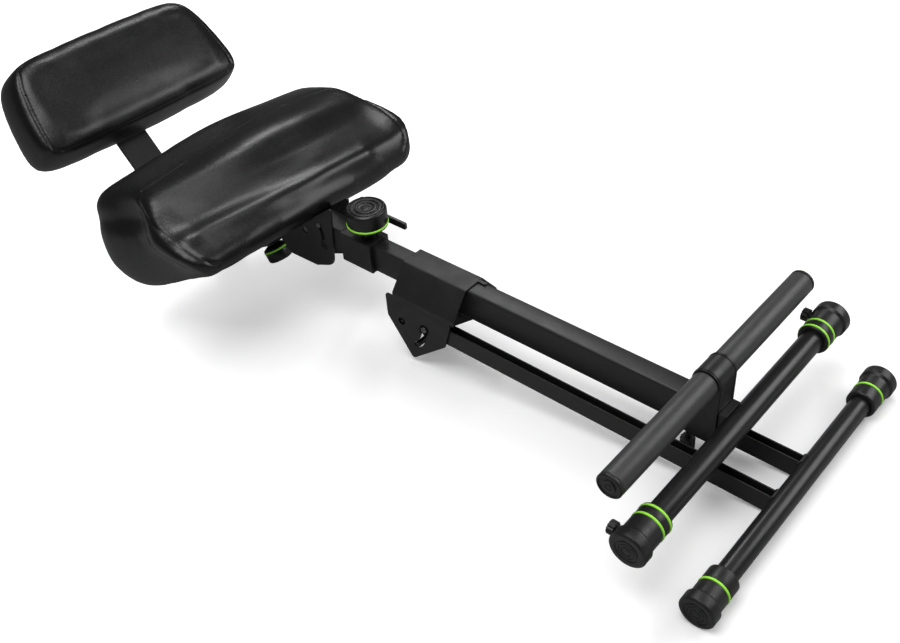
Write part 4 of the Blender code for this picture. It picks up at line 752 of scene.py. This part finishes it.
class STOOL_OT_knobs(bpy.types.Operator):
    """The head's and the seat's hand knobs with their bright rings"""
    bl_idname = "stool.knobs"
    bl_label = "Hand knobs"

    def execute(self, context):
        head = TUBE @ Matrix.Translation((-685 * MM, 0, 72.8 * MM))
        profile = knob_profile(radius=30 * MM, top=25 * MM, neck=18 * MM, foot=12 * MM, height=51 * MM,
                               ring=25 * MM, skirt=10 * MM)
        turned("head_knob_finished", profile, head, "knob", "head_knob", ("head_knob",), 0.5 * MM)
        turned("head_knob_ring_finished", ring_profile(29 * MM, 30 * MM, 25 * MM), head, "ring", "head_knob",
               ("head_knob_ring",), 0.3 * MM)
        seat = SEAT @ Matrix.Translation((-140 * MM, 0, -9.3 * MM)) @ Matrix.Rotation(math.pi, 4, "X")
        profile = knob_profile(radius=21 * MM, top=16 * MM, neck=13 * MM, foot=9 * MM, height=36 * MM,
                               ring=17 * MM, skirt=8 * MM)
        turned("seat_knob_finished", profile, seat, "knob", "seat_knob", ("seat_knob",), 0.5 * MM)
        turned("seat_knob_ring_finished", ring_profile(20 * MM, 21 * MM, 17 * MM), seat, "ring", "seat_knob",
               ("seat_knob_ring",), 0.3 * MM)
        return {"FINISHED"}


# Cushions

VOXEL = 5 * MM
# How hard the foam presses the cloth out, how stiff the cloth is, how many frames it is given, and the share of
# its way that the covering takes
FOAM_PRESSURE = 4
CLOTH_STIFFNESS = 18
CLOTH_FRAMES = 20
SWELL_SHARE = 0.18
# Steps along a raised line, a seam and a row of stitches, and the stitches' distance from their seam
LINE_GAP = 3 * MM
SEAM_GAP = 1.5 * MM
STITCH_GAP = 1 * MM
STITCH_OFFSET = 2.6 * MM


def remeshed(name, node, shrink):
    """A cushion's solid as an even skin, drawn in by shrink or pushed out where shrink is negative."""
    piece = to_object(name, merged_copy(node))
    skin = piece.modifiers.new("Skin", "REMESH")
    skin.mode = "VOXEL"
    skin.voxel_size = VOXEL
    apply_modifiers(piece)
    ease(piece, 3)
    apply_modifiers(piece)
    piece.data.update()
    for vertex, normal in zip(piece.data.vertices, [Vector(item.vector) for item in piece.data.vertex_normals]):
        vertex.co -= normal * shrink
    return piece


def ease(piece, rounds):
    """A smoothing modifier that takes a skin's small waves out."""
    eased = piece.modifiers.new("Eased", "SMOOTH")
    eased.factor = 0.5
    eased.iterations = rounds


def apply_modifiers(piece):
    """Replaces a piece's mesh by what its modifiers make of it."""
    graph = bpy.context.evaluated_depsgraph_get()
    mesh = bpy.data.meshes.new_from_object(piece.evaluated_get(graph))
    old = piece.data
    piece.modifiers.clear()
    piece.data = mesh
    bpy.data.meshes.remove(old)


def swell(piece, limit, held):
    """Blows a skin up as its foam does: a share of a pressed cloth's way, within the limit, none where it is held."""
    start = [vertex.co.copy() for vertex in piece.data.vertices]
    cloth = piece.modifiers.new("Cloth", "CLOTH")
    cloth.settings.use_pressure = True
    cloth.settings.uniform_pressure_force = FOAM_PRESSURE
    cloth.settings.effector_weights.gravity = 0
    cloth.settings.tension_stiffness = CLOTH_STIFFNESS
    cloth.settings.compression_stiffness = CLOTH_STIFFNESS
    cloth.point_cache.frame_start = 1
    cloth.point_cache.frame_end = CLOTH_FRAMES
    for number in range(1, CLOTH_FRAMES + 1):
        bpy.context.scene.frame_set(number)
    graph = bpy.context.evaluated_depsgraph_get()
    ended = [vertex.co.copy() for vertex in piece.evaluated_get(graph).data.vertices]
    piece.modifiers.clear()
    bpy.context.scene.frame_set(1)
    for vertex, before, after in zip(piece.data.vertices, start, ended):
        move = (after - before) * SWELL_SHARE
        if move.length > limit:
            move.length = limit
        vertex.co = before + move * (1 - held(before))


def subdivide(piece, rounds):
    """One subdivision, then an even easing of the skin."""
    finer = piece.modifiers.new("Finer", "SUBSURF")
    finer.levels = 1
    finer.render_levels = 1
    ease(piece, rounds)
    apply_modifiers(piece)


def on_surface(piece, points, gap):
    """Points every gap along a line, each laid on the piece's nearest face."""
    tree = BVHTree.FromObject(piece, bpy.context.evaluated_depsgraph_get())
    line = []
    for start, end in zip(points, points[1:]):
        count = max(1, round((end - start).length / gap))
        line += [start.lerp(end, step / count) for step in range(count)]
    line.append(points[-1])
    return [tree.find_nearest(point)[:2] for point in line]


def press_line(piece, laid, width, depth):
    """Presses a groove into the covering along a line, or raises a roll when the depth is negative."""
    steepness = 3.2
    tree = KDTree(len(laid))
    for number, (spot, normal) in enumerate(laid):
        tree.insert(spot, number)
    tree.balance()
    normals = [Vector(item.vector) for item in piece.data.vertex_normals]
    for vertex, normal in zip(piece.data.vertices, normals):
        away = tree.find(vertex.co)[2]
        if away < 2 * width:
            share = away / width
            vertex.co -= normal * depth * math.exp(-share * share * steepness)
    piece.data.update()


def sew(name, piece, path, body):
    """Draws a seam in along a path, and lays stitches beside it: loops of thread half sunk in the covering."""
    size = sizes()
    pitch, thread = size.stitch_pitch, 0.42 * MM
    seam = on_surface(piece, path, SEAM_GAP)
    press_line(piece, seam, size.seam_width, size.seam_depth)
    laid = on_surface(piece, [spot for spot, normal in seam], STITCH_GAP)
    work = bmesh.new()
    travelled, following = 0.0, pitch
    for (start, up), (end, unused) in zip(laid, laid[1:]):
        travelled += (end - start).length
        if travelled < following or (end - start).length < 1e-6:
            continue
        following += pitch
        along = (end - start).normalized()
        side = up.cross(along).normalized()
        turn = Matrix((along, side, up)).transposed().to_4x4()
        place = Matrix.Translation(start + side * STITCH_OFFSET - up * 0.1 * MM) @ turn
        bmesh.ops.create_uvsphere(work, u_segments=8, v_segments=6, radius=1,
                                  matrix=place @ Matrix.Diagonal((pitch * 0.37, thread, thread, 1)))
    return add_piece(name, work, "thread", body, sharp=80)


def finish_cushion(piece, node, body):
    piece.data.shade_smooth()
    piece.data.materials.clear()
    piece.data.materials.append(finish("covering"))
    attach(piece, body)
    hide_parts(node)


def smooth(value):
    value = max(0, min(1, value))
    return value * value * (3 - 2 * value)


def lean(piece, place, angle, foot, head):
    """Tips a soft form a little about its own X, none at its foot and all above its head."""
    inverse = place.inverted()
    turn = math.sin(angle)
    for vertex in piece.data.vertices:
        point = inverse @ vertex.co
        share = smooth((point.z - foot) / (head - foot))
        tipped = Vector((point.x, point.y - turn * (point.z - foot) * share, point.z + turn * point.y * share))
        vertex.co = place @ tipped
    piece.data.update()


def seat_point(x, y, z):
    return SEAT @ Vector((x * MM, y * MM, z * MM))


# Lines over the seat in its own frame, in millimetres: back, across and up
TOP_ROLL = ((-51, -203, 146), (-41, -173, 146), (-34, -132, 143), (-27, -92, 139), (-22, -49, 136), (-21, 10, 135),
            (-23, 73, 133), (-28, 116, 133), (-33, 159, 131), (-30, 186, 119), (-17, 200, 98), (1, 206, 79),
            (17, 206, 64))
FRONT_ROLL = ((8, -200, 79), (12, -164, 78), (22, -117, 74), (32, -68, 70), (40, -16, 65), (42, 28, 62),
              (40, 75, 59), (34, 120, 55))
END_FOLD = ((-186, -214, 150), (-150, -219, 142), (-112, -217, 136), (-80, -214, 132))
# Each line's width and the depth it is pressed in by; a negative depth raises it
SEAT_LINES = ((TOP_ROLL, 34 * MM, -1.5 * MM), (FRONT_ROLL, 26 * MM, -3.2 * MM), (END_FOLD, 26 * MM, 4 * MM))
SEAT_SEAM = ((58, -190, 24), (36, -199, 38), (29, -209, 53), (19, -213, 65), (7, -215, 78), (-7, -217, 92),
             (-20, -218, 107), (-34, -217, 124), (-52, -213, 141), (-64, -206, 153), (-66, -196, 162), (-62, -177, 164),
             (-61, -159, 165), (-61, -111, 167), (-62, -62, 169), (-64, -7, 170), (-70, 43, 171), (-76, 97, 170),
             (-76, 127, 167), (-72, 158, 162), (-68, 184, 155), (-58, 202, 140), (-38, 212, 116), (-14, 216, 90),
             (10, 214, 66), (34, 206, 40), (56, 190, 24))


class STOOL_OT_seat(bpy.types.Operator):
    """The seat's cushion with its rolled front, sewn seams and board"""
    bl_idname = "stool.seat"
    bl_label = "Seat cushion"

    def execute(self, context):
        inverse = SEAT.inverted()
        piece = remeshed("seat_cushion_cover", "seat_cushion", -0.6 * MM)
        base_top = 40 * MM
        swell(piece, sizes().seat_swell, lambda point: 1 if (inverse @ point).z < base_top else 0)
        subdivide(piece, rounds=90)
        self.fill_ends(piece)
        self.roll_front(piece)
        lean(piece, SEAT, angle=math.radians(-1.5), foot=30 * MM, head=130 * MM)
        for line, width, depth in SEAT_LINES:
            press_line(piece, on_surface(piece, [seat_point(*point) for point in line], LINE_GAP), width, depth)
        sew("seat_stitches", piece, [seat_point(*point) for point in SEAT_SEAM], "seat")
        finish_cushion(piece, "seat_cushion", "seat")
        board = dress_node("seat_board", "board", 1 * MM)
        middle = middle_of("seat_board")
        board_share = 0.93
        for vertex in board.data.vertices:
            vertex.co = middle + (vertex.co - middle) * board_share
        return {"FINISHED"}

    def roll_front(self, piece):
        """Steepens the hollow between the front's two rolls and draws the lower edge down; lengths in millimetres."""
        inverse = SEAT.inverted()
        top_near, top_drop = 146, 15
        foot_near, foot_drop = 79, 24
        roll_push, hollow_pull = 8, 3
        hang_near, hang_more = 8, 8
        for vertex in piece.data.vertices:
            point = inverse @ vertex.co / MM
            if point.x < -110:
                continue
            along = smooth((point.y + 205) / 410)
            high, low = top_near - top_drop * along, foot_near - foot_drop * along
            share = (point.z - low) / (high - low)
            middle = (0.35 + 0.95 * smooth((point.y + 200) / 200)) * (1 - 0.6 * smooth((point.y - 60) / 140))
            push = roll_push * smooth((share - 0.1) / 0.5) - hollow_pull * math.exp(-((share + 0.22) / 0.2) ** 2)
            front = smooth((point.x + 110) / 80)
            point.x += push * middle * front
            hang = smooth((55 - point.z) / 38) * smooth((point.x + 20) / 40) * smooth((point.y + 190) / 240)
            point.z -= (hang_near + hang_more * smooth(point.y / 140)) * hang
            vertex.co = SEAT @ (point * MM)
        piece.data.update()

    def fill_ends(self, piece):
        """Squares up the lower corners of the cushion's two end walls, least at the front."""
        inverse = SEAT.inverted()
        heart = Vector((-80 * MM, 0, 95 * MM))
        wall_starts, wall_depth = 180 * MM, 45 * MM
        fill_top, fill_height, seam_floor = 140 * MM, 70 * MM, 17 * MM
        rear_push, front_less, side_push = 9 * MM, 6 * MM, 4 * MM
        for vertex in piece.data.vertices:
            point = inverse @ vertex.co
            out = smooth((abs(point.y) - wall_starts) / wall_depth)
            out *= 1 - smooth((point.z - (fill_top - fill_height)) / fill_height)
            if out <= 0 or point.z < seam_floor:
                continue
            away = Vector((point.x - heart.x, 0, point.z - heart.z))
            away.normalize()
            away.z = max(away.z, 0)
            point += away * out * (rear_push - front_less * smooth(point.x / (40 * MM)))
            point.y += math.copysign(out * side_push, point.y)
            vertex.co = SEAT @ point
        piece.data.update()


# The front panel's seam as shares of its half width and half height, once around
PANEL_SHARES = ((-1, -0.5), (-0.97, -0.88), (-0.78, -1), (-0.38, -1.02), (0, -1.025), (0.38, -1.02), (0.78, -1),
                (0.97, -0.88), (1, -0.5), (1.01, 0), (1, 0.5), (0.95, 0.88), (0.76, 1), (0.38, 1.02), (0, 1.025),
                (-0.38, 1.02), (-0.76, 1), (-0.95, 0.88), (-1, 0.5), (-1.01, 0), (-1, -0.5))
# The panel in the backrest's frame, in millimetres: its middle's height, its half width low down and high up,
# how much of that its two ends reach, and its half height
PANEL_MIDDLE = 318
PANEL_LOW_HALF, PANEL_TOP_HALF = 206, 176
PANEL_NEAR_SHARE, PANEL_FAR_SHARE = 0.9, 0.95
PANEL_HALF_HEIGHT = 79.05
# The raised line inside the seam
INNER_NEAR_HALF, INNER_FAR_HALF, INNER_HALF_HEIGHT = 156, 165, 62


class STOOL_OT_backrest(bpy.types.Operator):
    """The backrest's cushion with its sewn front panel, its board, bar and screws"""
    bl_idname = "stool.backrest"
    bl_label = "Backrest"

    def execute(self, context):
        inverse = BACK.inverted()
        piece = remeshed("backrest_cushion_cover", "backrest_cushion", 1 * MM)
        base_top = 22 * MM
        swell(piece, sizes().back_swell, lambda point: 1 if (inverse @ point).x < base_top else 0)
        subdivide(piece, rounds=36)
        settle = (BACK @ Matrix.Translation((0, 7 * MM, PANEL_MIDDLE * MM))
                  @ Matrix.Rotation(math.radians(-1.5), 4, "X") @ Matrix.Translation((0, 0, -PANEL_MIDDLE * MM)))
        far_stretch = 1.05
        for vertex in piece.data.vertices:
            spot = inverse @ vertex.co
            spot.y *= far_stretch if spot.y > 0 else 1
            vertex.co = settle @ spot
        piece.data.update()
        rim, inner = [], []
        for across, up in PANEL_SHARES:
            width = PANEL_LOW_HALF + (PANEL_TOP_HALF - PANEL_LOW_HALF) * (up + 1) / 2
            width *= PANEL_FAR_SHARE if across > 0 else PANEL_NEAR_SHARE
            rim.append(settle @ (Vector((102, across * width, PANEL_MIDDLE + up * PANEL_HALF_HEIGHT)) * MM))
            width = INNER_FAR_HALF if across > 0 else INNER_NEAR_HALF
            inner.append(settle @ (Vector((110, across * width, PANEL_MIDDLE + up * INNER_HALF_HEIGHT)) * MM))
        press_line(piece, on_surface(piece, inner, LINE_GAP), 22 * MM, -1.6 * MM)
        sew("backrest_stitches", piece, rim, "backrest")
        finish_cushion(piece, "backrest_cushion", "backrest")
        dress_node("backrest_board", "board", 1 * MM)
        dress_node("backrest_bar", "sheet", 0.8 * MM)
        for node in ("backrest_screw_low", "backrest_screw_high"):
            dress_node(node, "steel", 0.5 * MM)
        return {"FINISHED"}


# Panel and registration

STEPS = ("stage", "tubes", "hinge", "bracket", "feet", "footrest", "knobs", "seat", "backrest")


class STOOL_PT_dress(bpy.types.Panel):
    """Lists the stool's steps, sizes and colours"""
    bl_idname = "STOOL_PT_dress"
    bl_label = "Keyboard stool"
    bl_space_type = "VIEW_3D"
    bl_region_type = "UI"
    bl_category = "Stool"

    def draw(self, context):
        for group_name in ("stool_sizes", "stool_colours"):
            held = getattr(context.scene, group_name)
            for name in held.__annotations__:
                self.layout.prop(held, name)
        for step in STEPS:
            self.layout.operator("stool." + step)


CLASSES = (StoolSizes, StoolColours, STOOL_OT_stage, STOOL_OT_tubes, STOOL_OT_hinge, STOOL_OT_bracket, STOOL_OT_feet,
           STOOL_OT_footrest, STOOL_OT_knobs, STOOL_OT_seat, STOOL_OT_backrest, STOOL_PT_dress)


def register():
    for item in CLASSES:
        bpy.utils.register_class(item)
    bpy.types.Scene.stool_sizes = PointerProperty(type=StoolSizes)
    bpy.types.Scene.stool_colours = PointerProperty(type=StoolColours)


def unregister():
    del bpy.types.Scene.stool_colours
    del bpy.types.Scene.stool_sizes
    for item in reversed(CLASSES):
        bpy.utils.unregister_class(item)


def main():
    register()
    for step in STEPS:
        getattr(bpy.ops.stool, step)()


if __name__ == "__main__":
    main()
